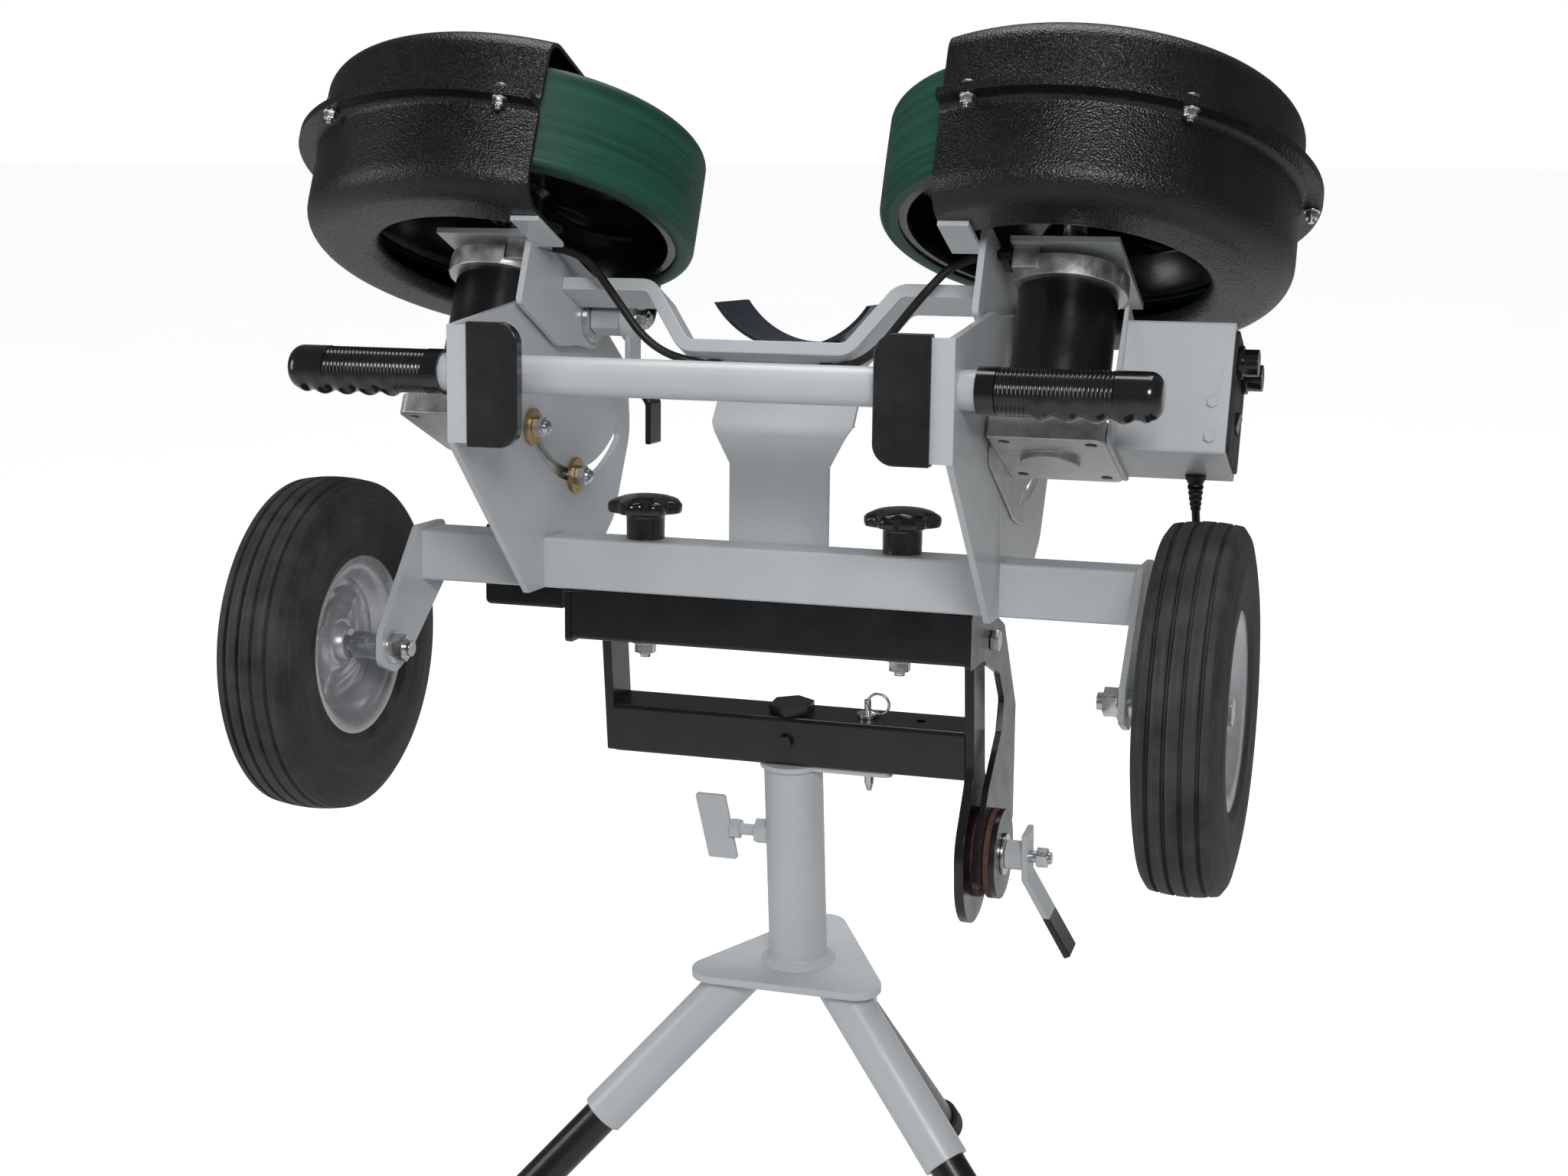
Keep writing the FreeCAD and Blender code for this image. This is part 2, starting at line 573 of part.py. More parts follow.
def edge_covers():
    """Dipped vinyl covers over the inner halves of the rear flanges."""
    skin = 3.0
    y0, y1 = FLANGE_Y - skin, FLANGE_Y + SIDE_T + skin - 0.4
    cover = box(FLANGE_IN - 5, FLANGE_IN + 45, y0, y1, FLANGE_LOW - skin, FLANGE_HIGH + skin)
    corners = [e for e in cover.Edges
               if abs(e.tangentAt(e.FirstParameter).y) > 0.9 and e.CenterOfMass.x < FLANGE_IN]
    cover = cover.makeFillet(19.0, corners)
    cover = cover.cut(side_plate()).cut(along_x(HANDLE_R, 0, 300, HANDLE_Y, HANDLE_Z))
    return [in_frame(c) for c in both(cover)]


def wheel_arms():
    """End plates of the crossbar that run down and back to the transport wheel axles."""
    top, front = CROSSBAR_Z + BAR / 2 + 5, CROSSBAR_Y + BAR / 2 + 5
    outline = [(CROSSBAR_Y - BAR / 2 - 6, top, 8), (front, top, 8), (front, CROSSBAR_Z - BAR / 2 - 4, 8),
               (AXLE_Y + 32, AXLE_Z - 18, 20), (AXLE_Y + 8, AXLE_Z - 27, 10), (AXLE_Y - 24, AXLE_Z - 14, 12),
               (AXLE_Y - 22, AXLE_Z + 16, 14)]
    arm = plate_x(outline, CROSSBAR_HALF, CROSSBAR_HALF + SIDE_T)
    arm = arm.cut(along_x(AXLE_R, CROSSBAR_HALF - 1, CROSSBAR_HALF + SIDE_T + 1, AXLE_Y, AXLE_Z))
    return [in_frame(a) for a in both(arm)]


def tyre():
    """Ribbed solid tyre with four circumferential grooves."""
    x0, x1, r = TYRE_IN, TYRE_IN + TYRE_W, TYRE_R
    bead = RIM_R + 6
    middle = (x0 + x1) / 2
    profile = [(x0 + 9, RIM_R), (x0 + 6, bead + 4), (x0, bead + 26), (x0 + 1, r - 24), (x0 + 8, r - 5)]
    for groove in (-21, -7, 7, 21):
        x = middle + groove
        crown = r - 0.0035 * groove * groove
        profile += [(x - 1.6, crown), (x - 1.2, crown - 4), (x + 1.2, crown - 4), (x + 1.6, crown)]
    profile += [(x1 - 8, r - 5), (x1 - 1, r - 24), (x1, bead + 26), (x1 - 6, bead + 4), (x1 - 9, RIM_R)]
    return revolve_x(profile, AXLE_Y, AXLE_Z)


def rim():
    """Pressed steel rim: flanges, dished web and hub tube."""
    x0, x1 = TYRE_IN + 2, TYRE_IN + TYRE_W - 2
    hub0, hub1 = HUB_IN, TYRE_IN + TYRE_W - 22
    middle = (x0 + x1) / 2
    bore = AXLE_R + RUN
    profile = [(hub0, bore), (hub1, bore), (hub1, 17), (middle + 10, 19), (middle + 6, 36), (middle + 10, 56),
               (x1 - 16, 66), (x1 - 9, RIM_R - 4), (x1 - 6, RIM_R), (x1 - 9, RIM_R), (x0 + 9, RIM_R),
               (x0 + 6, RIM_R), (x0 + 9, RIM_R - 4), (x0 + 16, RIM_R - 9), (middle, RIM_R - 9), (middle, 60),
               (middle - 6, 56), (middle - 10, 36), (middle - 4, 19), (hub0, 17)]
    return revolve_x(profile, AXLE_Y, AXLE_Z)


def knob(x):
    """Six-lobed clamp knob with its stud through both bars."""
    y, base = TILT_BAR_Y, KNOB_BASE + GAP
    stem = cyl(19, V(x, y, base), V(x, y, base + 30))
    head = revolve_z([(0, base + 26), (KNOB_R - 3, base + 26), (KNOB_R, base + 30), (KNOB_R - 2, base + 38),
                      (20, base + 43), (0, base + 44)], x, y)
    for i in range(6):
        a = math.radians(60 * i + 30)
        centre = V(x + (KNOB_R + 4) * math.cos(a), y + (KNOB_R + 4) * math.sin(a), base)
        head = head.cut(cyl(9, centre, centre + V(0, 0, 60)))
    stud = cyl(STUD_R, V(x, y, STUD_LOW - 18), V(x, y, base + 5))
    return in_frame(joined([stem, head, stud]))


def cradle_bracket():
    """Bent strip that rises from the crossbar and ramps forward under the ball cradle."""
    y, t = CROSSBAR_Y + BAR / 2, 5.0
    base, knee, shelf = CROSSBAR_Z, 196.0, CRADLE_Z - CRADLE_T - 3
    ramp = [(y, base, 0), (y + t, base, 0), (y + t, knee - 2, 10), (CRADLE_Y - 18, shelf - t, 10),
            (CRADLE_Y + 22, shelf - t, 0), (CRADLE_Y + 22, shelf, 0), (CRADLE_Y - 20, shelf, 10),
            (y, knee + 2, 10)]
    wide = BRACKET_HALF + 21
    strip = plate_x(ramp, -wide, wide)
    for side in (-1, 1):
        trim = [(side * BRACKET_HALF, base - 1), (side * BRACKET_HALF, knee - 30), (side * wide, knee + 10),
                (side * (wide + 9), knee + 10), (side * (wide + 9), base - 1)]
        wire = Part.makePolygon([V(x, y - 5, z) for x, z in trim + trim[:1]])
        strip = strip.cut(Part.Face(wire).extrude(V(0, t + 14, 0)))
    return in_frame(strip)


CRADLE_Z = 280.0
CRADLE_Y = 40.0
CRADLE_R = 91.0
CRADLE_T = 4.0
CRADLE_DEPTH = 41.0
CRADLE_HALF = 48.0
BRACKET_HALF = 51.0


def ball_cradle():
    """Curved tray that guides the ball between the wheels, on two pads."""
    r, t = CRADLE_R, CRADLE_T
    y0, y1 = CRADLE_Y - CRADLE_HALF, CRADLE_Y + CRADLE_HALF
    ring = tube(r + t, r, V(0, y0, 0), V(0, y1, 0))
    tray = ring.common(box(-r, r, y0, y1, -r - 20, CRADLE_DEPTH - r))
    solid = cyl(r + t / 2, V(0, y0 - 10, 0), V(0, y1 + 10, 0))
    pads = []
    for x in (-30, 30):
        pads.append(box(x - 9, x + 9, CRADLE_Y - 14, CRADLE_Y + 18, -r - t - 3, -r + 8).cut(solid))
    tray = joined([tray] + pads)
    tray.translate(V(0, 0, CRADLE_Z + r))
    return in_frame(tray)


def junction_box():
    """Closed black box on the outer face of the left side plate."""
    x = -SIDE_OUT
    shell = box(x - 86, x, CROSSBAR_Y + BAR / 2 + 6, 54, 8, 92)
    return in_frame(shell.makeFillet(6.0, [e for e in shell.Edges if e.CenterOfMass.x < x - 1]))


# ---- throwing head (head axes) ----
SLOT_ANGLES = (-28.0, 16.0)
SHELF_LOW = 36.0
SHELF_T = 6.0
HEAD_PLATE_REAR = -163.0
CABLE_HOLE = (-111.0, 32.0)
STRAP_Y = -80.0
STRAP_W = 50.0
STRAP_T = 13.0
STRAP_TOP = 13.0
STRAP_DROP = 60.0


def head_plate():
    """Right-hand inner plate with the shelf that carries the motor and the tab under the shroud."""
    x0, x1 = HEAD_PLATE_IN, HEAD_PLATE_IN + SIDE_T
    rear, top = HEAD_PLATE_REAR, SHELF_LOW + SHELF_T
    outline = [(rear, -46, 6), (-60, -52, 30), (-14, -34, 30), (34, -22, 20), (34, top, 4), (rear, top, 14)]
    plate = plate_x(outline, x0, x1)
    bridge = box(x1 - 1, WHEEL_X + 52, -54, 34, SHELF_LOW, top)
    seat = box(SIDE_OUT + 3, WHEEL_X + 52, WHEEL_Y - 58, 34, SHELF_LOW, top)
    tab_top = WHEEL_Z - SHELL_LOW
    tab = box(WHEEL_X - SHELL_CUT, x0 + 1, rear - 50, rear + 14, tab_top - 5, tab_top)
    plate = joined([plate, bridge, seat, tab])
    plate = plate.cut(along_x(BOLT_R + RUN, x0 - 5, x1 + 5, 0, 0))
    plate = plate.cut(cyl(SHAFT_R + 9, V(WHEEL_X, WHEEL_Y, SHELF_LOW - 1), V(WHEEL_X, WHEEL_Y, top + 1)))
    return plate.cut(along_x(CABLE_R + 2, x0 - 5, x1 + 5, CABLE_HOLE[0], CABLE_HOLE[1]))


def cross_strap():
    """Hat-shaped flat bar that ties the two head plates under the ball."""
    top, low, t = STRAP_TOP, STRAP_TOP - STRAP_DROP, STRAP_T
    outer, inner, half = 121.0, 78.0, HEAD_PLATE_IN
    lean = t * math.tan(math.atan2(STRAP_DROP, outer - inner) / 2)
    upper = [(-half, top), (-outer, top), (-inner, low), (inner, low), (outer, top), (half, top)]
    lower = [(half, top - t), (outer + lean, top - t), (inner + lean, low - t), (-inner - lean, low - t),
             (-outer - lean, top - t), (-half, top - t)]
    points = [V(x, STRAP_Y, z) for x, z in upper + lower]
    radii = [0, 24, 10, 10, 24, 0, 0, 10, 24, 24, 10, 0]
    return in_head(Part.Face(rounded_wire(points, radii)).extrude(V(0, STRAP_W, 0)))


def motor():
    """Motor can on the wheel axis."""
    low = MOTOR_TOP - MOTOR_LENGTH
    can = cyl(MOTOR_R, V(WHEEL_X, WHEEL_Y, low), V(WHEEL_X, WHEEL_Y, MOTOR_TOP))
    return can.cut(cyl(SHAFT_R + GAP, V(WHEEL_X, WHEEL_Y, MOTOR_TOP - 8), V(WHEEL_X, WHEEL_Y, MOTOR_TOP)))


def motor_castings():
    """Upper end bell with its cable gland, and the square lower end bell."""
    x, y, top = WHEEL_X, WHEEL_Y, MOTOR_TOP
    gy, gz = CABLE_HOLE
    bell = cyl(MOTOR_R + 8, V(x, y, top), V(x, y, top + 20))
    ears = box(SIDE_OUT + 3, x + 52, y - 20, y + 20, top + 4, top + 20)
    seat = cyl(36, V(x, y, top + 19), V(x, y, SHELF_LOW))
    gland = box(SIDE_OUT + 5, SIDE_OUT + 29, gy - 11, gy + 11, top + 6, gz + 9)
    upper = joined([bell, ears, seat, gland]).cut(box(0, SIDE_OUT + 3, -400, 400, -400, 400))
    upper = upper.cut(cyl(SHAFT_R + GAP, V(x, y, top), V(x, y, SHELF_LOW)))
    upper = upper.cut(box(SIDE_OUT, x + 60, y - 58, y + 90, SHELF_LOW, SHELF_LOW + 20))
    upper = upper.cut(along_x(CABLE_R, 0, SIDE_OUT + 13, gy, gz))
    low = top - MOTOR_LENGTH
    x0, x1 = SIDE_OUT + 3, BOX_X[0] - WALL_T
    lower = plate_z([(x0, y - 62, 0), (x1, y - 62, 10), (x1, y + 62, 10), (x0, y + 62, 0)], low - 20, low)
    lower = joined([lower, cyl(27, V(x, y, low - 26), V(x, y, low - 10))])
    for dx, dy in ((-34, -48), (44, -48), (-34, 48), (44, 48)):
        lower = lower.cut(cyl(5, V(x + dx, y + dy, low - 21), V(x + dx, y + dy, low + 1)))
    return [upper, lower]


def slot_bracket():
    """Plate beside the lower end bell that holds the two pitch slot bolts."""
    low = MOTOR_TOP - MOTOR_LENGTH
    outline = [(-108, low + 1, 8), (-108, low - 36, 16), (20, low - 52, 16), (66, low - 46, 18),
               (66, low - 6, 12), (10, low + 1, 12)]
    plate = plate_x(outline, SIDE_OUT + GAP, SIDE_OUT + 3)
    for angle in SLOT_ANGLES:
        y, z = polar(SLOT_R, angle)
        plate = plate.cut(along_x(BOLT_R, SIDE_OUT, SIDE_OUT + 4, y, z))
    return plate


def slot_bolts():
    """Bolts with acorn nuts that ride in the pitch slot."""
    pieces = []
    inner = SIDE_OUT - SIDE_T
    for angle in SLOT_ANGLES:
        y, z = polar(SLOT_R, angle)
        bolt = along_x(BOLT_R, inner - 13, SIDE_OUT + 3, y, z)
        nut = hexagon(18, V(inner - 14, y, z), V(inner - GAP - WASHER_T, y, z))
        dome = Part.makeSphere(8.0, V(inner - 13, y, z))
        pieces.append(joined([bolt, nut, dome]))
    return pieces


def slot_washers():
    pieces = []
    inner = SIDE_OUT - SIDE_T - GAP
    for angle in SLOT_ANGLES:
        y, z = polar(SLOT_R, angle)
        pieces.append(tube(18, BOLT_R, V(inner - WASHER_T, y, z), V(inner, y, z)))
    return pieces


def shell(upper):
    """Half of a right-hand wheel shroud: a drum with an outer lip, open at the middle underneath."""
    way = 1 if upper else -1
    far = WHEEL_Z + (SHELL_HIGH if upper else -SHELL_LOW)
    mouth = 0.0 if upper else SHELL_MOUTH
    t, c, r, mid = SHELL_T, 12.0 * way, SHELL_R, WHEEL_Z
    profile = [(r + SHELL_LIP, mid), (r + SHELL_LIP, mid + way * t), (r, mid + way * t), (r, far - c),
               (r - 4, far - c * 0.34), (r - 12, far), (mouth, far), (mouth, far - way * t),
               (r - 13, far - way * t), (r - t - 3, far - c * 0.6), (r - t, far - c), (r - t, mid)]
    drum = revolve_z(profile, WHEEL_X, WHEEL_Y)
    big = r + SHELL_LIP + 50
    return drum.cut(box(WHEEL_X - 3 * big, WHEEL_X - SHELL_CUT, WHEEL_Y - big, WHEEL_Y + big,
                        far - 300, far + 300))


LIP_ANGLES = (-108, -55, 10, 65, 108)


def shroud_bolts():
    """Lip screws of a shroud with washers and nuts."""
    pieces = []
    for angle in LIP_ANGLES:
        a = math.radians(angle)
        r = SHELL_R + SHELL_LIP / 2 + 1
        x, y, z, t = WHEEL_X + r * math.cos(a), WHEEL_Y + r * math.sin(a), WHEEL_Z, SHELL_T
        parts = [cyl(3, V(x, y, z - t - 12), V(x, y, z + t + 1)), cyl(6.5, V(x, y, z + t), V(x, y, z + t + 4)),
                 cyl(7.5, V(x, y, z - t - 1.5), V(x, y, z - t)),
                 hexagon(11, V(x, y, z - t - 8), V(x, y, z - t - 1))]
        pieces.append(joined(parts))
    return pieces


def tread():
    half = TREAD_W / 2
    r, inner, bevel = TREAD_R, TREAD_R - TREAD_T, 6.0
    z = WHEEL_Z
    profile = [(inner, z - half), (r - bevel, z - half), (r, z - half + bevel), (r, z + half - bevel),
               (r - bevel, z + half), (inner, z + half)]
    return revolve_z(profile, WHEEL_X, WHEEL_Y)


def hub():
    """Wheel hub on its motor shaft: rim band, web and boss."""
    half = TREAD_W / 2 - 2
    z, r = WHEEL_Z, TREAD_R - TREAD_T
    profile = [(0, MOTOR_TOP - 7), (SHAFT_R, MOTOR_TOP - 7), (SHAFT_R, z - 38), (26, z - 38), (26, z - 6),
               (r - 14, z - 6), (r - 10, z - half), (r, z - half), (r, z + half), (r - 10, z + half),
               (r - 14, z + 6), (26, z + 6), (26, z + 26), (0, z + 26)]
    return revolve_z(profile, WHEEL_X, WHEEL_Y)


WALL_T = 4.0
BOX_X = (WHEEL_X + 62, WHEEL_X + 157)
BOX_Y = (-100.0, -14.0)
BOX_Z = (-146.0, -24.0)
BOX_SKIN = 2.0


def control_box():
    """Folded sheet box on a wall plate beside the right motor."""
    low = MOTOR_TOP - MOTOR_LENGTH
    case = box(BOX_X[0], BOX_X[1], BOX_Y[0], BOX_Y[1], BOX_Z[0], BOX_Z[1])
    fold = [e for e in case.Edges if abs(e.tangentAt(e.FirstParameter).x) > 0.9]
    case = case.makeFillet(4.0, fold)
    t = BOX_SKIN
    inside = box(BOX_X[0] + t, BOX_X[1] - t, BOX_Y[0] + t, BOX_Y[1] - t, BOX_Z[0] + t, BOX_Z[1] - t)
    wall = plate_x([(WHEEL_Y - 58, low - 20, 6), (WHEEL_Y + 60, low - 20, 6), (WHEEL_Y + 60, BOX_Z[1], 10),
                    (WHEEL_Y - 30, BOX_Z[1] + 16, 10)], BOX_X[0] - WALL_T, BOX_X[0])
    case = joined([case.cut(inside), wall])
    for y, z in CONTROL_SPOTS:
        case = case.cut(along_x(DIAL_STEM + RUN, BOX_X[1] - 4, BOX_X[1] + 1, y, z))
    y, z = SWITCH_SPOT
    case = case.cut(box(BOX_X[1] - 4, BOX_X[1] + 1, y - 11, y + 11, z - 9, z + 9))
    screws = [(BOX_X[1] - 14, -100), (BOX_X[1] - 14, -132)]
    for x, z in screws:
        case = case.fuse(hexagon(9, V(x, BOX_Y[0] - 4, z), V(x, BOX_Y[0] + 1, z)))
    return in_head(case.removeSplitter())


PANEL_T = 3.0
DIAL_STEM = 3.0
CONTROL_SPOTS = ((-77.0, -54.0), (-37.0, -54.0))
SWITCH_SPOT = (-57.0, -104.0)


def control_panel():
    """Black face plate over the outer side of the control box."""
    x0, x1 = BOX_X[1], BOX_X[1] + PANEL_T
    y0, y1, z0, z1 = BOX_Y[0] + 5, BOX_Y[1] - 5, BOX_Z[0] + 5, BOX_Z[1] - 5
    panel = plate_x([(y0, z0, 6), (y1, z0, 6), (y1, z1, 6), (y0, z1, 6)], x0, x1)
    for y, z in CONTROL_SPOTS:
        panel = panel.cut(along_x(DIAL_STEM + RUN, x0, x1, y, z))
    y, z = SWITCH_SPOT
    return in_head(panel.cut(box(x0 - 1, x1 + 1, y - 11, y + 11, z - 9, z + 9)))


def speed_dial(spot):
    y, z = spot
    x = BOX_X[1] + PANEL_T + GAP
    dial = joined([along_x(15, x, x + 4, y, z), along_x(12, x + 3, x + 17, y, z)])
    dial = dial.cut(box(x + 15, x + 18, y - 1, y + 1, z + 2, z + 13))
    return in_head(joined([dial, along_x(DIAL_STEM, BOX_X[1] - 12, x + 1, y, z)]))


def power_switch():
    """Rocker in its opening."""
    y, z = SWITCH_SPOT
    x = BOX_X[1] + PANEL_T
    points = [V(x - 9, y - 9.5, z - 5), V(x + 1, y - 9.5, z - 7.5), V(x + 4, y - 9.5, z + 7.5),
              V(x - 9, y - 9.5, z + 5)]
    rocker = Part.Face(Part.makePolygon(points + points[:1])).extrude(V(0, 19, 0))
    return in_head(joined([rocker, cyl(2.5, V(x - 6, y - 10.5, z), V(x - 6, y + 10.5, z))]))


def lock_lever():
    """Hexagonal rod, eye boss and hanging handle that clamp the head pivot."""
    x0, x1 = GAP + 5.7 - HEAD_PLATE_IN, LOCK_ROD - HEAD_PLATE_IN
    rod = hexagon(30, V(x0, 0, 0), V(x1, 0, 0))
    boss = along_x(22, x1 - 1, x1 + 12, 0, 0)
    a, t = x1 + 3, 6.0
    line = [(a, 4), (a, -52), (a + 22, -84), (a + 22, -124), (a + 22 + t, -124), (a + 22 + t, -82),
            (a + t, -50), (a + t, 4)]
    radii = [0, 8, 8, 2, 2, 8, 8, 0]
    wire = rounded_wire([V(x, -15, z) for x, z in line], radii)
    arm = Part.Face(wire).extrude(V(0, 30, 0))
    lever = joined([rod, boss, arm]).cut(along_x(BOLT_R + RUN, x0 - 1, x1 + 20, 0, 0))
    lever.translate(V(0, HEAD_PIVOT_Y, HEAD_PIVOT_Z))
    return in_frame(lever)


def lock_bolt_end():
    """Fender washer against the head plate, and the nut at the lever eye."""
    x0, x1 = -HEAD_PLATE_IN, LOCK_ROD + 12 - HEAD_PLATE_IN
    washer = tube(24, BOLT_R, V(x0 + GAP, 0, 0), V(x0 + 5.7, 0, 0))
    nut = joined([tube(15, BOLT_R, V(x1 + GAP, 0, 0), V(x1 + 3, 0, 0)),
                  hexagon(17, V(x1 + 3, 0, 0), V(x1 + 11, 0, 0)).cut(along_x(BOLT_R, x1, x1 + 20, 0, 0))])
    pieces = [washer, nut]
    for piece in pieces:
        piece.translate(V(0, HEAD_PIVOT_Y, HEAD_PIVOT_Z))
    return pieces


# ---- cords ----
CABLE_R = 4.0
CORD_R = 3.75
CABLE_UNDER = STRAP_TOP - STRAP_DROP - STRAP_T - CABLE_R - 1.0
HALF_CABLE = [(SIDE_OUT + 13, CABLE_HOLE[0], CABLE_HOLE[1]), (SIDE_OUT - 43, CABLE_HOLE[0], CABLE_HOLE[1]),
              (150, -105, -14), (112, -86, -60), (70, STRAP_Y + STRAP_W / 2, CABLE_UNDER)]
MOTOR_CABLE = ([(-x, y, z) for x, y, z in HALF_CABLE] + [(0, STRAP_Y + STRAP_W / 2, CABLE_UNDER - 3)]
               + HALF_CABLE[::-1])
CORD_X = BOX_X[1] - 32
POWER_CORD = [(CORD_X, 0, 0), (CORD_X, 2, -26), (CORD_X - 1, 19, -49), (CORD_X - 3, 46, -80), (CORD_X - 5, 69, -119),
              (CORD_X - 7, 81, -162), (CORD_X - 8, 85, -204)]


def corner_radii(points):
    """Arc radii that use 0.45 of the shorter run at each corner."""
    radii = [0.0]
    for before, here, after in zip(points, points[1:], points[2:]):
        back, ahead = before - here, after - here
        half = back.getAngle(ahead) / 2
        radii.append(0.45 * min(back.Length, ahead.Length) * math.tan(half))
    return radii + [0.0]


def cord_tube(route, radius, name):
    points = [V(*p) for p in route]
    radii = corner_radii(points)
    path = rounded_wire(points, radii, closed=False)
    start = (points[1] - points[0]).normalize()
    ring = Part.Wire([Part.Circle(points[0], start, radius).toShape()])
    solid = path.makePipeShell([ring], True, False)
    share = solid.Volume / (math.pi * radius ** 2 * path.Length)
    print(name, "length %.0f" % path.Length, "volume share %.4f" % share,
          "radii", " ".join("%.0f" % r for r in radii[1:-1]))
    return solid


def cable_clips(cable):
    """Clips that hold the motor cable against the underside of the strap."""
    clips = []
    under = STRAP_TOP - STRAP_DROP - STRAP_T
    y = STRAP_Y + STRAP_W / 2
    for x in (-56, 56):
        ring = tube(CABLE_R + 1.6, CABLE_R, V(x - 6, y, CABLE_UNDER), V(x + 6, y, CABLE_UNDER))
        tail = box(x - 6, x + 6, y, y + 16, under - 1.6, under)
        clip = joined([ring, tail]).cut(box(x - 7, x + 7, y - 20, y + 20, under, under + 20))
        clips.append(clip.cut(cyl(CABLE_R, V(x - 7, y, CABLE_UNDER), V(x + 7, y, CABLE_UNDER))).cut(cable))
    return [in_head(c) for c in clips]


# ---- export ----
def export(name, shapes):
    solids = []
    for shape in shapes if isinstance(shapes, list) else [shapes]:
        solids += shape.Solids
    for solid in solids:
        if not solid.isValid():
            raise ValueError(name + " is not valid")
    compound = Part.makeCompound(solids) if len(solids) > 1 else solids[0].copy()
    compound.translate(V(0, -ORIGIN_Y, 0))
    compound.exportStep("parts/" + name + ".step")


def hanging_cord():
    """Pigtail below the control box: a point on the box floor, then points relative to it."""
    start = V(0, BOX_Y[1] - 18, BOX_Z[0])
    start = FreeCAD.Rotation(V(1, 0, 0), -HEAD_PITCH).multVec(start)
    pivot = FreeCAD.Rotation(V(1, 0, 0), -FRAME_TILT).multVec(V(0, HEAD_PIVOT_Y, HEAD_PIVOT_Z))
    base = start + pivot + V(0, 0, PIVOT_Z)
    return [(x, base.y + y, base.z + z) for x, y, z in POWER_CORD]


def power_plug():
    """Moulded two-blade plug with earth pin on the end of the pigtail."""
    points = [V(*p) for p in hanging_cord()]
    end = points[-1]
    way = (end - points[-2]).normalize()
    body = joined([cyl(9, end - way * 4, end + way * 22), cyl(15, end + way * 16, end + way * 34)])
    body = body.cut(cyl(CORD_R, end - way * 6, end))
    side = way.cross(V(1, 0, 0)).normalize()
    face = end + way * 34
    pins = [cyl(2.4, face - way, face + way * 18)]
    pins[0].translate(side * 6)
    for dx in (-6.4, 6.4):
        blade = Part.makeBox(1.6, 6.4, 18.0, V(-0.8, -3.2, -1))
        blade.Placement = FreeCAD.Placement(face + V(dx, 0, 0) - side * 4, FreeCAD.Rotation(V(0, 0, 1), way))
        pins.append(blade)
    return joined([body] + pins)


def main():
    os.makedirs("parts", exist_ok=True)
    export("tripod_head", [base_plate()] + leg_sleeves())
    export("post_tube", [post_tube(), lock_tab()])
    export("leg_tubes", leg_tubes())
    export("feet", feet())
    export("post_bushing", post_bushing())
    export("clamp_screw", [clamp_screw(), clamp_paddle()])
    export("swivel_bar", swivel_bar())
    export("swivel_plate_left", swivel_plate_left())
    export("swivel_plate_right", swivel_plate_right())
    export("spindle", spindle())
    export("swivel_fasteners", swivel_fasteners())
    export("friction_discs", friction_discs())
    export("pressure_disc", pressure_disc())
    export("lock_pin", lock_pin())
    export("tilt_lever", tilt_lever())
    export("tilt_bar", tilt_bar())
    export("tilt_plate_left", tilt_plate_left())
    export("tilt_sector", tilt_sector())
    export("crossbar", crossbar())
    right = side_plate()
    export("side_plate_right", in_frame(right))
    export("side_plate_left", in_frame(mirror(right)))
    export("handlebar", handlebar())
    export("grips", grips())
    export("edge_covers", edge_covers())
    export("wheel_arms", wheel_arms())
    export("frame_fasteners", frame_fasteners() + [in_frame(p) for p in lock_bolt_end()])
    export("cradle_bracket", cradle_bracket())
    export("ball_cradle", ball_cradle())
    export("junction_box", junction_box())
    export("knob_left", knob(-KNOB_X))
    export("knob_right", knob(KNOB_X))
    for name, shape in (("tyre", tyre()), ("rim", rim())):
        export(name + "_right", in_frame(shape))
        export(name + "_left", in_frame(mirror(shape)))
    plate = head_plate()
    export("head_plate_right", in_head(plate))
    export("head_plate_left", in_head(mirror(plate)))
    export("cross_strap", cross_strap())
    export("motor_cans", [in_head(m) for m in both(motor())])
    castings = motor_castings() + [slot_bracket()]
    export("motor_castings", [in_head(c) for c in castings + [mirror(c) for c in castings]])
    for name, upper in (("shroud_lower", False), ("shroud_upper", True)):
        half = shell(upper)
        for piece in shroud_bolts():
            half = half.cut(piece)
        export(name + "_right", in_head(half))
        export(name + "_left", in_head(mirror(half)))
    bolts = shroud_bolts() + slot_bolts()
    export("head_fasteners", [in_head(b) for b in bolts + [mirror(b) for b in bolts]])
    washers = slot_washers()
    export("slot_washers", [in_head(w) for w in washers + [mirror(w) for w in washers]])
    export("control_box", control_box())
    export("control_panel", control_panel())
    export("dial_left", speed_dial(CONTROL_SPOTS[0]))
    export("dial_right", speed_dial(CONTROL_SPOTS[1]))
    export("power_switch", power_switch())
    cable = cord_tube(MOTOR_CABLE, CABLE_R, "motor cable")
    export("motor_cable", in_head(cable))
    export("cable_clips", cable_clips(cable))
    export("power_cord", cord_tube(hanging_cord(), CORD_R, "power cord"))
    export("power_plug", power_plug())
    export("lock_lever", lock_lever())
    for name, shape in (("tread", tread()), ("hub", hub())):
        export(name + "_right", in_head(shape))
        export(name + "_left", in_head(mirror(shape)))


main()
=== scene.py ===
import json
import math

import bmesh
import bpy
from mathutils import Matrix, Vector


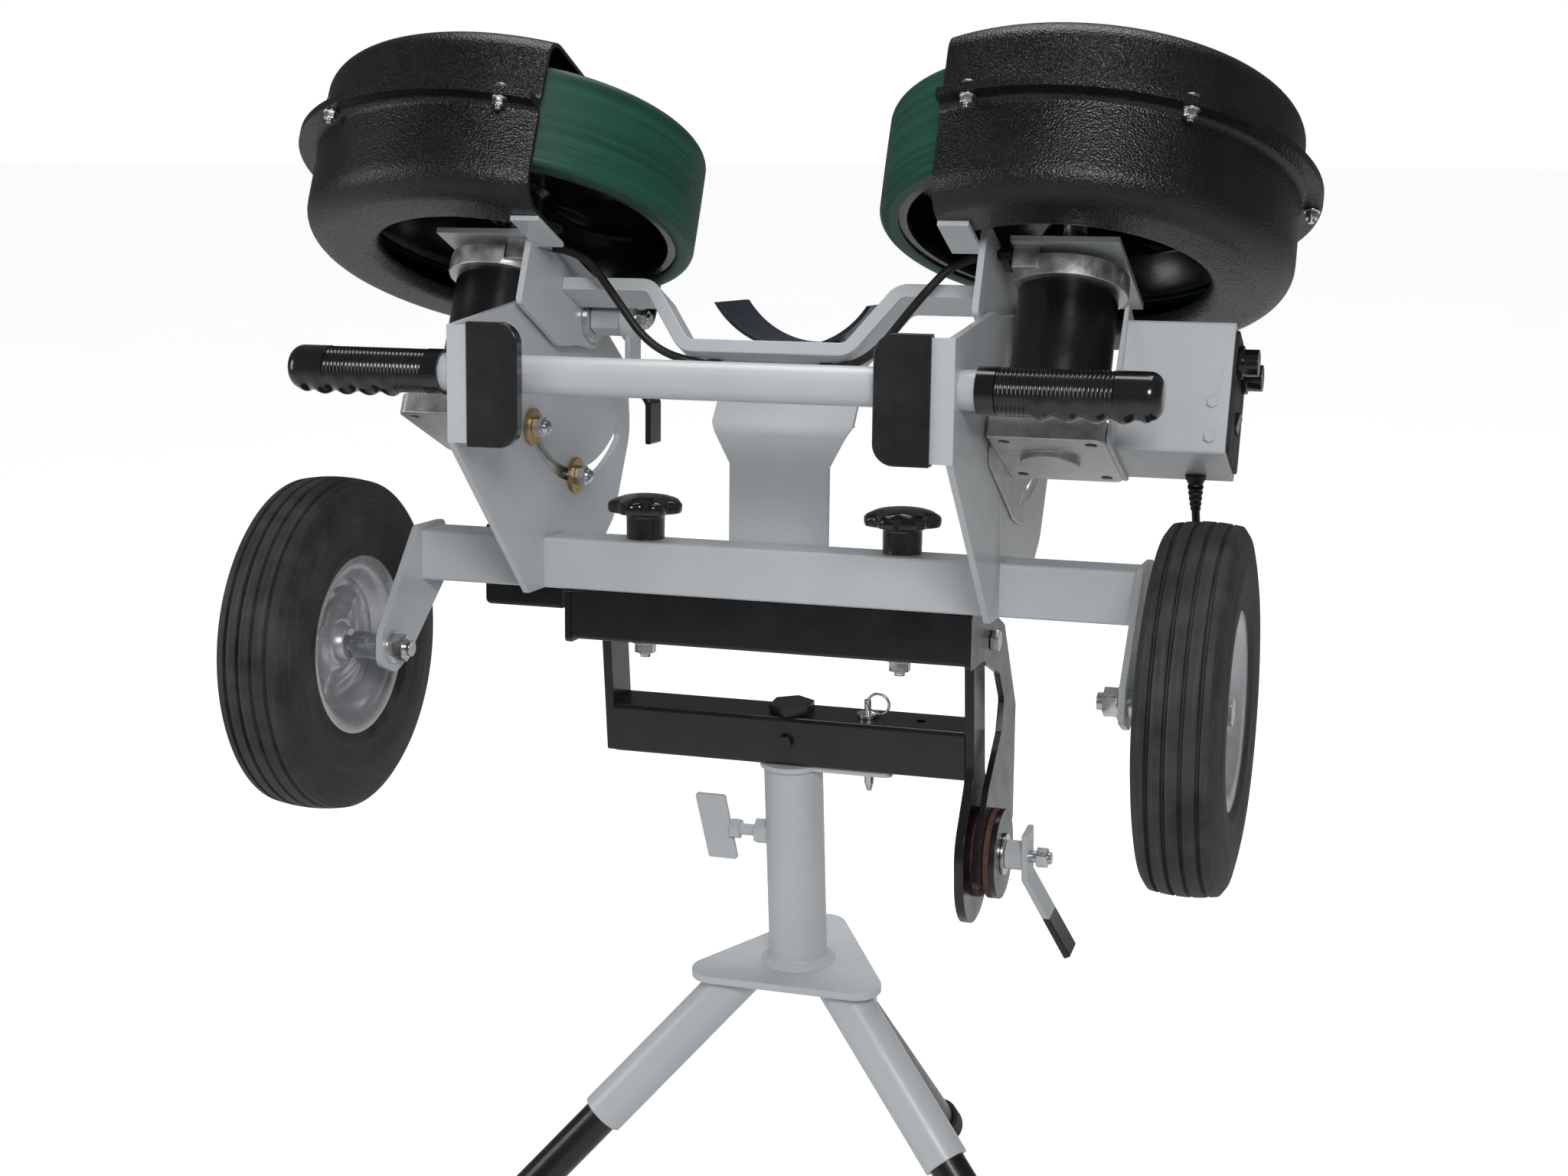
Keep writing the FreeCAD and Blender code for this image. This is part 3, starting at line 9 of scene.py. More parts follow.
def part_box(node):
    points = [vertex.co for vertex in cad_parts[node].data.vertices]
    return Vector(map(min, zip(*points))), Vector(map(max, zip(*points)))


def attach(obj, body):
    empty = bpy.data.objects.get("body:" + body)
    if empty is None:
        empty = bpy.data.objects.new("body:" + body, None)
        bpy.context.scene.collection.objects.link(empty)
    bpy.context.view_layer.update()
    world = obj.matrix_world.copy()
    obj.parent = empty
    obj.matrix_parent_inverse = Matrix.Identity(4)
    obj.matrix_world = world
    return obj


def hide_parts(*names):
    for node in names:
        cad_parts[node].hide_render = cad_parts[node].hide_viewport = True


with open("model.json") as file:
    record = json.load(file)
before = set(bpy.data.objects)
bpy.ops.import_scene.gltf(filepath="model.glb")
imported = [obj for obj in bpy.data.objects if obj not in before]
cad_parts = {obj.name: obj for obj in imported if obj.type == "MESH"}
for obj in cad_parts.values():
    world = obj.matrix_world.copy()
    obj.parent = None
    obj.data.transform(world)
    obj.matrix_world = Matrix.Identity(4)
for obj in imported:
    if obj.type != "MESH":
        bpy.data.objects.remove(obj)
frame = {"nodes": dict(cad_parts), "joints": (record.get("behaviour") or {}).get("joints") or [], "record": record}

# Looks of a two-wheel ball throwing machine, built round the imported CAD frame. Helper sizes are in
# millimetres and turned into metres as each mesh is made.

MM = 0.001
TAU = 2 * math.pi
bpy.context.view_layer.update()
JOINTS = {joint["name"]: joint for joint in frame["joints"]}
SIDES = {"left": -1, "right": 1}


# ---------------------------------------------------------------- places
def place(origin, up=(0, 0, 1)):
    """Local axes: X to the right, Z along up, Y forward, with the origin in metres."""
    up = Vector(up).normalized()
    right = Vector((1, 0, 0))
    forward = up.cross(right)
    turn = Matrix((right, forward, up)).transposed().to_4x4()
    return Matrix.Translation(Vector(origin)) @ turn


def joint_place(name, up=(0, 0, 1)):
    return place(JOINTS[name]["pos_m"], up)


FRAME_UP = JOINTS["knob_left_turn"]["axis"]
HEAD_UP = JOINTS["throw_wheel_left_spin"]["axis"]


def sideways(place_matrix):
    """The same origin with Z turned to +X, for things turned about a cross axis."""
    return place_matrix @ Matrix.Rotation(math.pi / 2, 4, "Y")


# ---------------------------------------------------------------- node materials
class Shade:
    """Small wrapper that wires a procedural Principled material."""

    def __init__(self, name, rough=0.4, metal=0.0, coat=0.0, coat_rough=0.1, spec=0.5):
        self.mat = bpy.data.materials.new(name)
        self.mat.use_nodes = True
        self.tree = self.mat.node_tree
        self.bsdf = self.tree.nodes["Principled BSDF"]
        self.bsdf.inputs["Metallic"].default_value = metal
        self.bsdf.inputs["Coat Weight"].default_value = coat
        self.bsdf.inputs["Coat Roughness"].default_value = coat_rough
        self.bsdf.inputs["Specular IOR Level"].default_value = spec
        self.bsdf.inputs["Roughness"].default_value = rough
        self.coords = None

    def node(self, kind, **values):
        made = self.tree.nodes.new(kind)
        for key, value in values.items():
            if key in made.inputs:
                made.inputs[key].default_value = value
            else:
                setattr(made, key, value)
        return made

    def link(self, a, b):
        self.tree.links.new(a, b)

    def space(self, scale=(1, 1, 1), source="Object"):
        """Object-space (or UV-space) coordinates, stretched by scale."""
        if self.coords is None:
            self.coords = self.node("ShaderNodeTexCoord")
        mapping = self.node("ShaderNodeMapping", Scale=scale)
        self.link(self.coords.outputs[source], mapping.inputs["Vector"])
        return mapping.outputs["Vector"]

    def noise(self, scale, detail=3.0, rough=0.55, stretch=(1, 1, 1), source="Object"):
        made = self.node("ShaderNodeTexNoise", Scale=scale, Detail=detail, Roughness=rough)
        self.link(self.space(stretch, source), made.inputs["Vector"])
        return made.outputs["Fac"]

    def cells(self, scale):
        made = self.node("ShaderNodeTexVoronoi", Scale=scale, feature="SMOOTH_F1")
        self.link(self.space(), made.inputs["Vector"])
        return made.outputs["Distance"]

    def remap(self, value, low, high, to_low, to_high):
        made = self.node("ShaderNodeMapRange")
        self.link(value, made.inputs["Value"])
        ends = {"From Min": low, "From Max": high, "To Min": to_low, "To Max": to_high}
        for key, number in ends.items():
            made.inputs[key].default_value = number
        return made.outputs["Result"]

    def blend(self, factor, first, second):
        """A colour mix; either end may be a colour or a socket."""
        made = self.node("ShaderNodeMix", data_type="RGBA")
        sockets = [socket for socket in made.inputs if socket.type == "RGBA"]
        self.link(factor, made.inputs[0])
        for socket, end in zip(sockets, (first, second)):
            if isinstance(end, tuple):
                socket.default_value = (*end, 1)
            else:
                self.link(end, socket)
        return next(socket for socket in made.outputs if socket.type == "RGBA")

    def bump(self, *layers):
        """Stacked bump layers, each (height socket, strength, distance in mm)."""
        previous = None
        for height, strength, distance in layers:
            made = self.node("ShaderNodeBump", Strength=strength, Distance=distance * MM)
            self.link(height, made.inputs["Height"])
            if previous:
                self.link(previous.outputs["Normal"], made.inputs["Normal"])
            previous = made
        self.link(previous.outputs["Normal"], self.bsdf.inputs["Normal"])

    def finish(self, color, rough=None):
        self.link(color, self.bsdf.inputs["Base Color"])
        if rough is not None:
            self.link(rough, self.bsdf.inputs["Roughness"])
        return self.mat


GREY_LOW = (0.53, 0.56, 0.58)
GREY_HIGH = (0.58, 0.61, 0.63)


def grey_powder():
    """Light grey powder coat with faint orange peel."""
    s = Shade("grey_powder", rough=0.34, coat=0.25, coat_rough=0.2)
    cloud = s.noise(9, 3)
    color = s.blend(s.remap(cloud, 0.3, 0.7, 0.0, 1.0), GREY_LOW, GREY_HIGH)
    dust = s.remap(s.noise(420, 2), 0.62, 0.78, 0.0, 0.35)
    color = s.blend(dust, color, (0.44, 0.47, 0.49))
    s.bump((s.noise(520, 2), 0.10, 0.5), (s.noise(60, 2), 0.05, 1.5))
    return s.finish(color, s.remap(s.noise(35, 3), 0.3, 0.7, 0.28, 0.42))


def black_powder(name="black_powder", base=(0.006, 0.006, 0.0075), rough=0.26):
    """Semi-gloss black powder coat."""
    s = Shade(name, rough=rough, coat=0.3, coat_rough=0.18)
    light = tuple(c * 1.8 for c in base)
    color = s.blend(s.remap(s.noise(14, 4), 0.35, 0.75, 0.0, 1.0), base, light)
    s.bump((s.noise(480, 2), 0.14, 0.5), (s.noise(50, 2), 0.06, 1.5))
    return s.finish(color, s.remap(s.noise(30, 3), 0.3, 0.7, rough - 0.06, rough + 0.1))


def pebbled_plastic():
    """Vacuum-formed sheet with a pebbled, glittering grain."""
    s = Shade("pebbled_plastic", rough=0.3, spec=0.5)
    grain = s.cells(620)
    fine = s.noise(900, 3)
    cloud = s.remap(s.noise(22, 4), 0.35, 0.75, 0.0, 1.0)
    color = s.blend(cloud, (0.0045, 0.0045, 0.005), (0.011, 0.011, 0.012))
    s.bump((grain, 0.55, 1.1), (fine, 0.35, 0.5))
    return s.finish(color, s.remap(s.noise(300, 2), 0.3, 0.7, 0.22, 0.4))


def green_tread():
    """Turned dark green polyurethane: streaks run round the wheel."""
    s = Shade("green_tread", rough=0.46, spec=0.42)
    rings = s.noise(1.0, 5, 0.7, stretch=(2.2, 900, 1), source="UV")
    broad = s.noise(1.0, 3, 0.6, stretch=(1.2, 120, 1), source="UV")
    patches = s.noise(1.0, 3, 0.6, stretch=(7, 22, 1), source="UV")
    color = s.blend(s.remap(broad, 0.32, 0.68, 0.0, 1.0), (0.006, 0.050, 0.032), (0.014, 0.098, 0.062))
    color = s.blend(s.remap(rings, 0.55, 0.75, 0.0, 0.55), color, (0.05, 0.17, 0.13))
    color = s.blend(s.remap(patches, 0.55, 0.8, 0.0, 0.45), color, (0.004, 0.034, 0.024))
    s.bump((rings, 0.35, 0.35), (broad, 0.2, 0.6))
    return s.finish(color, s.remap(rings, 0.3, 0.7, 0.38, 0.56))


def worn_rubber():
    """Dusty grey-black tyre rubber, lighter where it has rubbed."""
    s = Shade("worn_rubber", rough=0.62, spec=0.35)
    dust = s.noise(24, 6, 0.65)
    scuffs = s.noise(1.0, 4, 0.6, stretch=(9, 260, 1), source="UV")
    color = s.blend(s.remap(dust, 0.35, 0.7, 0.0, 1.0), (0.022, 0.022, 0.021), (0.058, 0.057, 0.054))
    color = s.blend(s.remap(scuffs, 0.52, 0.78, 0.0, 0.5), color, (0.105, 0.10, 0.095))
    s.bump((s.noise(650, 3), 0.3, 0.5), (scuffs, 0.15, 0.5))
    return s.finish(color, s.remap(dust, 0.3, 0.7, 0.5, 0.75))


def zinc():
    """Bright zinc plate with a cool, faintly iridescent stain."""
    s = Shade("zinc", rough=0.24, metal=1.0)
    stain = s.noise(160, 3)
    color = s.blend(s.remap(stain, 0.35, 0.65, 0.0, 1.0), (0.60, 0.63, 0.68), (0.80, 0.79, 0.76))
    s.bump((s.noise(700, 2), 0.12, 0.3),)
    return s.finish(color, s.remap(s.noise(90, 3), 0.3, 0.7, 0.16, 0.36))


def brass():
    s = Shade("brass_passivate", rough=0.3, metal=1.0)
    color = s.blend(s.remap(s.noise(120, 4), 0.35, 0.65, 0.0, 1.0), (0.50, 0.33, 0.17), (0.66, 0.47, 0.24))
    s.bump((s.noise(500, 2), 0.15, 0.3),)
    return s.finish(color, s.remap(s.noise(60, 3), 0.3, 0.7, 0.22, 0.42))


def cast_alloy():
    """Die-cast aluminium with a fine sandy skin."""
    s = Shade("cast_alloy", rough=0.42, metal=0.9)
    blotch = s.noise(70, 4)
    color = s.blend(s.remap(blotch, 0.35, 0.65, 0.0, 1.0), (0.56, 0.56, 0.55), (0.74, 0.735, 0.72))
    s.bump((s.noise(480, 4), 0.4, 0.5), (s.noise(90, 2), 0.15, 1.0))
    return s.finish(color, s.remap(blotch, 0.3, 0.7, 0.34, 0.55))


def gloss_black(name="gloss_black", base=(0.006, 0.006, 0.007), rough=0.12):
    """Glossy moulded plastic or dipped vinyl."""
    s = Shade(name, rough=rough, coat=0.5, coat_rough=0.06)
    color = s.blend(s.remap(s.noise(18, 3), 0.3, 0.7, 0.0, 1.0), base, tuple(c * 2.2 for c in base))
    s.bump((s.noise(45, 2), 0.08, 1.2), (s.noise(900, 2), 0.05, 0.2))
    return s.finish(color, s.remap(s.noise(40, 4), 0.3, 0.75, rough, rough + 0.14))


def rim_silver():
    s = Shade("rim_silver", rough=0.26, metal=0.55, coat=0.4, coat_rough=0.12)
    color = s.blend(s.remap(s.noise(20, 4), 0.35, 0.7, 0.0, 1.0), (0.46, 0.47, 0.49), (0.58, 0.59, 0.61))
    grime = s.remap(s.noise(60, 5), 0.6, 0.8, 0.0, 0.3)
    color = s.blend(grime, color, (0.25, 0.25, 0.25))
    s.bump((s.noise(300, 2), 0.08, 0.5),)
    return s.finish(color, s.remap(s.noise(45, 3), 0.3, 0.7, 0.2, 0.36))


def friction_fibre():
    s = Shade("friction_fibre", rough=0.8)
    color = s.blend(s.remap(s.noise(420, 5), 0.35, 0.65, 0.0, 1.0), (0.07, 0.03, 0.027), (0.17, 0.085, 0.07))
    s.bump((s.noise(600, 4), 0.5, 0.5),)
    return s.finish(color, s.remap(s.noise(200, 3), 0.3, 0.7, 0.7, 0.9))


def matte_black(name="matte_black", base=(0.012, 0.012, 0.013), rough=0.5, grain=700):
    s = Shade(name, rough=rough, spec=0.4)
    color = s.blend(s.remap(s.noise(30, 4), 0.35, 0.7, 0.0, 1.0), base, tuple(c * 1.8 for c in base))
    s.bump((s.noise(grain, 3), 0.25, 0.4),)
    return s.finish(color, s.remap(s.noise(60, 3), 0.3, 0.7, rough - 0.08, rough + 0.12))


def nylon():
    s = Shade("turned_nylon", rough=0.45)
    color = s.blend(s.remap(s.noise(60, 3), 0.35, 0.65, 0.0, 1.0), (0.58, 0.56, 0.50), (0.66, 0.64, 0.58))
    s.bump((s.noise(500, 2), 0.1, 0.3),)
    return s.finish(color, s.remap(s.noise(80, 3), 0.3, 0.7, 0.38, 0.52))


DIPPED = {"tilt_lever": 42, "lock_lever": 52}
DIP_LINE = 1.0


def dipped_grip(lever):
    """Grey paint that changes to black dipped vinyl over the lowest stretch of a lever."""
    dip_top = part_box(lever)[0].z + DIPPED[lever] * MM
    s = Shade(lever + "_finish", rough=0.34, coat=0.3)
    height = s.node("ShaderNodeSeparateXYZ")
    s.link(s.space(), height.inputs["Vector"])
    split = s.remap(height.outputs["Z"], dip_top - DIP_LINE * MM, dip_top, 1.0, 0.0)
    grey = s.blend(s.remap(s.noise(9, 3), 0.3, 0.7, 0.0, 1.0), GREY_LOW, GREY_HIGH)
    color = s.blend(split, grey, (0.008, 0.008, 0.009))
    s.bump((s.noise(520, 2), 0.10, 0.5), (split, 0.5, 1.0))
    return s.finish(color, s.remap(split, 0.0, 1.0, 0.34, 0.16))


MAT = {
    "grey": grey_powder(),
    "black": black_powder(),
    "leg": black_powder("leg_black", (0.008, 0.008, 0.009), 0.34),
    "can": black_powder("motor_black", (0.005, 0.005, 0.006), 0.2),
    "shroud": pebbled_plastic(),
    "green": green_tread(),
    "tyre": worn_rubber(),
    "zinc": zinc(),
    "brass": brass(),
    "alloy": cast_alloy(),
    "gloss": gloss_black(),
    "vinyl": gloss_black("dipped_vinyl", (0.012, 0.0125, 0.014), 0.2),
    "rim": rim_silver(),
    "fibre": friction_fibre(),
    "matte": matte_black(),
    "cable": matte_black("cable_jacket", (0.008, 0.008, 0.008), 0.42, 900),
    "cradle": matte_black("cradle_plastic", (0.010, 0.014, 0.024), 0.34, 500),
    "rubber": matte_black("foot_rubber", (0.010, 0.010, 0.010), 0.6, 400),
    "nylon": nylon(),
}


# ---------------------------------------------------------------- mesh helpers
def finish_piece(obj, body, material, replaces=(), sharp=35):
    """Materials, shading and the CAD body of a new mesh."""
    mesh = obj.data
    mesh.materials.clear()
    mesh.materials.append(MAT[material] if isinstance(material, str) else material)
    mesh.polygons.foreach_set("use_smooth", [True] * len(mesh.polygons))
    mesh.set_sharp_from_angle(angle=math.radians(sharp))
    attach(obj, body)
    if replaces:
        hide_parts(*([replaces] if isinstance(replaces, str) else replaces))
    return obj


def from_bmesh(name, bm, matrix):
    bmesh.ops.recalc_face_normals(bm, faces=bm.faces)
    mesh = bpy.data.meshes.new(name)
    bm.to_mesh(mesh)
    bm.free()
    mesh.transform(matrix)
    obj = bpy.data.objects.new(name, mesh)
    bpy.context.scene.collection.objects.link(obj)
    return obj


WELD_GAP = 2e-6
FLAT_ANGLE = 0.6
BEVEL_ANGLE = 32
CROWDED = ("edge_covers",)


def refined(node, material, body, width=0.7):
    """A copy of a CAD node with cleaned faces and softened edges, shown in its place."""
    source = frame["nodes"][node]
    bm = bmesh.new()
    bm.from_mesh(source.data)
    bmesh.ops.remove_doubles(bm, verts=bm.verts, dist=WELD_GAP)
    bmesh.ops.dissolve_limit(bm, angle_limit=math.radians(FLAT_ANGLE), verts=bm.verts, edges=bm.edges)
    mesh = bpy.data.meshes.new(node + "_shell")
    bm.to_mesh(mesh)
    bm.free()
    obj = bpy.data.objects.new(node + "_shell", mesh)
    bpy.context.scene.collection.objects.link(obj)
    finish_piece(obj, body, material, node, sharp=30)
    bevel = obj.modifiers.new("edges", "BEVEL")
    bevel.width = width * MM
    bevel.segments = 2
    bevel.limit_method = "ANGLE"
    bevel.angle_limit = math.radians(BEVEL_ANGLE)
    bevel.use_clamp_overlap = node in CROWDED
    bevel.harden_normals = True
    bevel.miter_outer = "MITER_ARC"
    return obj


def arc(cx, cy, radius, start, end, steps):
    """Points on an arc, angles in degrees."""
    angles = [math.radians(start + (end - start) * i / steps) for i in range(steps + 1)]
    return [(cx + radius * math.cos(a), cy + radius * math.sin(a)) for a in angles]


def thick(path, wall):
    """A closed outline from an open path and its offset by the wall, to the left of travel."""
    inner = []
    for i, (x, y) in enumerate(path):
        ax, ay = path[max(i - 1, 0)]
        bx, by = path[min(i + 1, len(path) - 1)]
        length = math.hypot(bx - ax, by - ay)
        inner.append((x - (by - ay) / length * wall, y + (bx - ax) / length * wall))
    return path + inner[::-1]


ON_AXIS = 1e-4
SAME_POINT = 1e-7


def lathe_bmesh(profile, segments, wobble=None):
    """Turn a closed profile of (radius, height) in mm about Z, with UVs in metres along the surface."""
    bm = bmesh.new()
    uv = bm.loops.layers.uv.new("UVMap")
    count = len(profile)
    lengths = [0.0]
    for i in range(1, count + 1):
        a, b = profile[i - 1], profile[i % count]
        lengths.append(lengths[-1] + math.hypot(b[0] - a[0], b[1] - a[1]) * MM)
    rows = []
    for j in range(segments):
        angle = TAU * j / segments
        row = []
        for radius, height in profile:
            r, h = wobble(radius, height, angle) if wobble else (radius, height)
            row.append(bm.verts.new((r * math.cos(angle) * MM, r * math.sin(angle) * MM, h * MM)))
        rows.append(row)
    girth = max(p[0] for p in profile) * MM * TAU
    for j in range(segments):
        for i in range(count):
            k = (i + 1) % count
            quad = [rows[j][i], rows[(j + 1) % segments][i], rows[(j + 1) % segments][k], rows[j][k]]
            corner_uv = [(j, i), (j + 1, i), (j + 1, i + 1), (j, i + 1)]
            if profile[i][0] < ON_AXIS and profile[k][0] < ON_AXIS:
                continue
            face = bm.faces.new(quad)
            for loop, (u, v) in zip(face.loops, corner_uv):
                loop[uv].uv = (u / segments * girth, lengths[v])
    bmesh.ops.remove_doubles(bm, verts=bm.verts, dist=SAME_POINT)
    return bm


def lathe(name, profile, matrix, body, material, segments, replaces=(), cut=None, sharp=35, wobble=None):
    """A turned piece; cut is an optional (point, normal) in local metres whose far side is removed."""
    bm = lathe_bmesh(profile, segments, wobble=wobble)
    if cut:
        point, normal = cut
        geometry = bm.verts[:] + bm.edges[:] + bm.faces[:]
        made = bmesh.ops.bisect_plane(bm, geom=geometry, plane_co=point, plane_no=normal, clear_outer=True)
        edges = [e for e in made["geom_cut"] if isinstance(e, bmesh.types.BMEdge)]
        bmesh.ops.holes_fill(bm, edges=edges, sides=0)
    return finish_piece(from_bmesh(name, bm, matrix), body, material, replaces, sharp)


# ---------------------------------------------------------------- throwing head
SHROUD = {"radius": 200.0, "wall": 4.0, "lip": 19.6, "low": 93.0, "high": 72.0, "mouth": 126.0, "cut": 94.0,
          "lip_bend": 7, "low_bend": 28, "mouth_roll": 12, "high_bend": 22, "crown": 0.4}


def shroud(side):
    """Both halves of one wheel shroud, open on the side where the ball passes."""
    s = SHROUD
    where = joint_place("throw_wheel_%s_spin" % side, HEAD_UP)
    toward = Vector((-SIDES[side], 0, 0))
    cut = (toward * s["cut"] * MM, toward)
    r, t, bend = s["radius"], s["wall"], s["lip_bend"]
    rim, corner, roll, shoulder = r + s["lip"], s["low_bend"], s["mouth_roll"], s["high_bend"]
    low, high, mouth = -s["low"], s["high"], s["mouth"]
    lower = [(rim, -t), (r + bend, -t)] + arc(r + bend, -t - bend, bend, 90, 180, 5)[1:]
    lower += [(r, low + corner + 2)] + arc(r - corner, low + corner, corner, 0, -90, 10)[1:]
    lower += [(mouth + roll, low)] + arc(mouth + roll, low + roll, roll, -90, -180, 6)[1:]
    upper = [(rim, t), (r + bend, t)] + arc(r + bend, t + bend, bend, -90, -180, 5)[1:]
    upper += [(r, high - shoulder - 2)] + arc(r - shoulder, high - shoulder, shoulder, 0, 90, 10)[1:]
    upper += [(120, high - s["crown"]), (60, high), (0.0, high)]
    lathe("shroud_lower_%s_skin" % side, thick(lower, -t), where, "throw_head", "shroud", 160,
          "shroud_lower_" + side, cut)
    lathe("shroud_upper_%s_skin" % side, thick(upper, t), where, "throw_head", "shroud", 160,
          "shroud_upper_" + side, cut)


TREAD = {"radius": 182.0, "thick": 18.0, "width": 100.0, "round": 7, "rings": 40, "ring": 0.25, "crown": 0.35}
HUB = {"boss": 26, "boss_low": -40, "boss_high": 26, "web": 7, "root": 8, "rim_depth": 3, "ribs": 6,
       "rib_from": 40, "rib_to": 140, "rib_height": 9}
SHAFT = {"radius": 11, "low": -104, "high": -40, "chamfer": 0.4}


def throwing_wheel(side):
    """Green tread ring over a dished black hub."""
    t = TREAD
    where = joint_place("throw_wheel_%s_spin" % side, HEAD_UP)
    body = "throw_wheel_" + side
    r, inner, half, round_edge = t["radius"], t["radius"] - t["thick"], t["width"] / 2, t["round"]
    face = []
    for i in range(t["rings"] + 1):
        z = -half + round_edge + 2 * (half - round_edge) * i / t["rings"]
        face.append((r - t["ring"] * (i % 2) - t["crown"] * (z / half) ** 2, z))
    edge = r - round_edge - 0.4
    profile = [(inner, -half + 1), (inner + 2, -half)] + arc(edge, -half + round_edge, round_edge, -90, 0, 6)
    profile += face + arc(edge, half - round_edge, round_edge, 0, 90, 6)
    profile += [(inner + 2, half), (inner, half - 1)]
    lathe("tread_%s_ring" % side, profile, where, body, "green", 192, "tread_" + side, sharp=50)
    h = HUB

    def ribs(radius, height, angle):
        if h["rib_from"] < radius < h["rib_to"]:
            along = (radius - h["rib_from"]) / (h["rib_to"] - h["rib_from"])
            swell = max(0.0, math.cos(h["ribs"] * angle)) ** 4 * math.sin(along * math.pi)
            height += (1 if height > 0 else -1) * h["rib_height"] * swell
        return radius, height

    boss, web, root, lip = h["boss"], h["web"], h["root"], half - h["rim_depth"]
    rim = [(inner - 20, root), (inner - 12, half - 10), (inner - 8, lip), (inner - 0.2, lip)]
    bottom, top = h["boss_low"], h["boss_high"]
    outline = [(0, bottom), (boss - 2, bottom), (boss, bottom + 2), (boss, -14), (32, -root)]
    outline += [(radius, -web) for radius in (60, 90, 120)] + [(a, -b) for a, b in rim] + rim[::-1]
    outline += [(radius, web) for radius in (120, 90, 60)]
    outline += [(32, root), (boss, 14), (boss, top - 2), (boss - 2, top), (0, top)]
    lathe("hub_%s_casting" % side, outline, where, body, "can", 96, "hub_" + side, wobble=ribs)
    rod, low, high = SHAFT["radius"], SHAFT["low"], SHAFT["high"]
    shaft = [(0, low), (rod - SHAFT["chamfer"], low), (rod, low + 1), (rod, high), (0, high)]
    lathe("shaft_%s" % side, shaft, where, body, "zinc", 32)


def wheels():
    for side in SIDES:
        shroud(side)
        throwing_wheel(side)


# ---------------------------------------------------------------- transport wheels
TYRE = {"radius": 165.1, "width": 77.0, "bead": 84.0, "tread_half": 29, "grooves": (-21, -7, 7, 21),
        "groove_half": 2.0, "groove_depth": 4.5, "crown": 0.0035}
LOBE = {"from": 24, "to": 68, "depth": 7.5, "count": 4}
AXLE_HOLE = 8.1


def tyre_crown():
    """The grooved outer surface of a tyre from side to side."""
    t = TYRE
    crown = []
    for z in range(-t["tread_half"], t["tread_half"] + 1):
        off = min(abs(z - groove) for groove in t["grooves"])
        share = min(1.0, off / t["groove_half"])
        depth = t["groove_depth"] * (1 - share ** 4)
        crown.append((t["radius"] - t["crown"] * z * z - depth, z))
    return crown


def rim_lobes(radius, height, angle):
    """Four pressed hollows between the hub and the rim's shoulder."""
    low, high = LOBE["from"], LOBE["to"]
    if low < radius < high:
        depth = LOBE["depth"] * math.sin((radius - low) / (high - low) * math.pi)
        height -= (1 if height > 0 else -1) * depth * (0.5 + 0.5 * math.cos(LOBE["count"] * angle)) ** 0.7
    return radius, height


def tyre(side):
    """Ribbed tyre and lobed steel rim of one transport wheel."""
    name = "transport_wheel_%s" % side
    where = sideways(joint_place(name + "_roll"))
    low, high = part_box("tyre_" + side)
    middle = (low.x + high.x) / 2
    where = Matrix.Translation((middle - where.translation.x, 0, 0)) @ where
    r, half, bead = TYRE["radius"], TYRE["width"] / 2, TYRE["bead"]
    wall = [(bead, -half + 9), (bead + 4, -half + 6.5), (bead + 10, -half + 5), (bead + 14, -half + 2.5)]
    wall += [(bead + 16, -half + 3.2), (bead + 30, -half + 0.4), (bead + 50, -half + 0.2)]
    wall += [(bead + 52, -half + 1), (r - 20, -half + 2.2), (r - 10, -half + 4.5), (r - 5.5, -half + 7.5)]
    profile = wall + tyre_crown() + [(a, -b) for a, b in wall[::-1]]
    lathe("tyre_%s_rubber" % side, profile, where, name, "tyre", 160, "tyre_" + side, sharp=60)
    dish = [(AXLE_HOLE, 21), (15, 21), (17, 19), (19, 12)]
    dish += [(22 + i * 2, 10 + 0.4 * math.sin(i)) for i in range(23)]
    dish += [(68, 12), (71, 20), (73.5, 26), (77, 29.5), (82, 30.6), (88, 32.2), (91, 31.2), (91.5, 29)]
    dish += [(88, 27), (bead - 0.1, 27)]
    outline = dish + [(a, -b) for a, b in dish[::-1]]
    outline[0] = (AXLE_HOLE, 18)
    outline[-1] = (AXLE_HOLE, -24)
    lathe("rim_%s_steel" % side, outline, where, name, "rim", 128, "rim_" + side, wobble=rim_lobes)


# ---------------------------------------------------------------- knobs and grips
KNOB = {"lobes": 7, "core": 24, "scallop": 5.5, "reach": 13.5, "skirt": -22, "stem_end": -43.6}
THREAD = {"crest": 6.0, "root": 5.3, "pitch": 0.9, "start": -44, "tip": 5.0}


def scallop(radius, height, angle):
    """Hollows between the lobes of a knob's head."""
    k = KNOB
    if radius > k["core"] and height > k["skirt"]:
        hollow = (0.5 - 0.5 * math.cos(k["lobes"] * angle)) ** 1.6
        radius -= (radius - k["core"]) / k["reach"] * k["scallop"] * hollow
    return radius, height


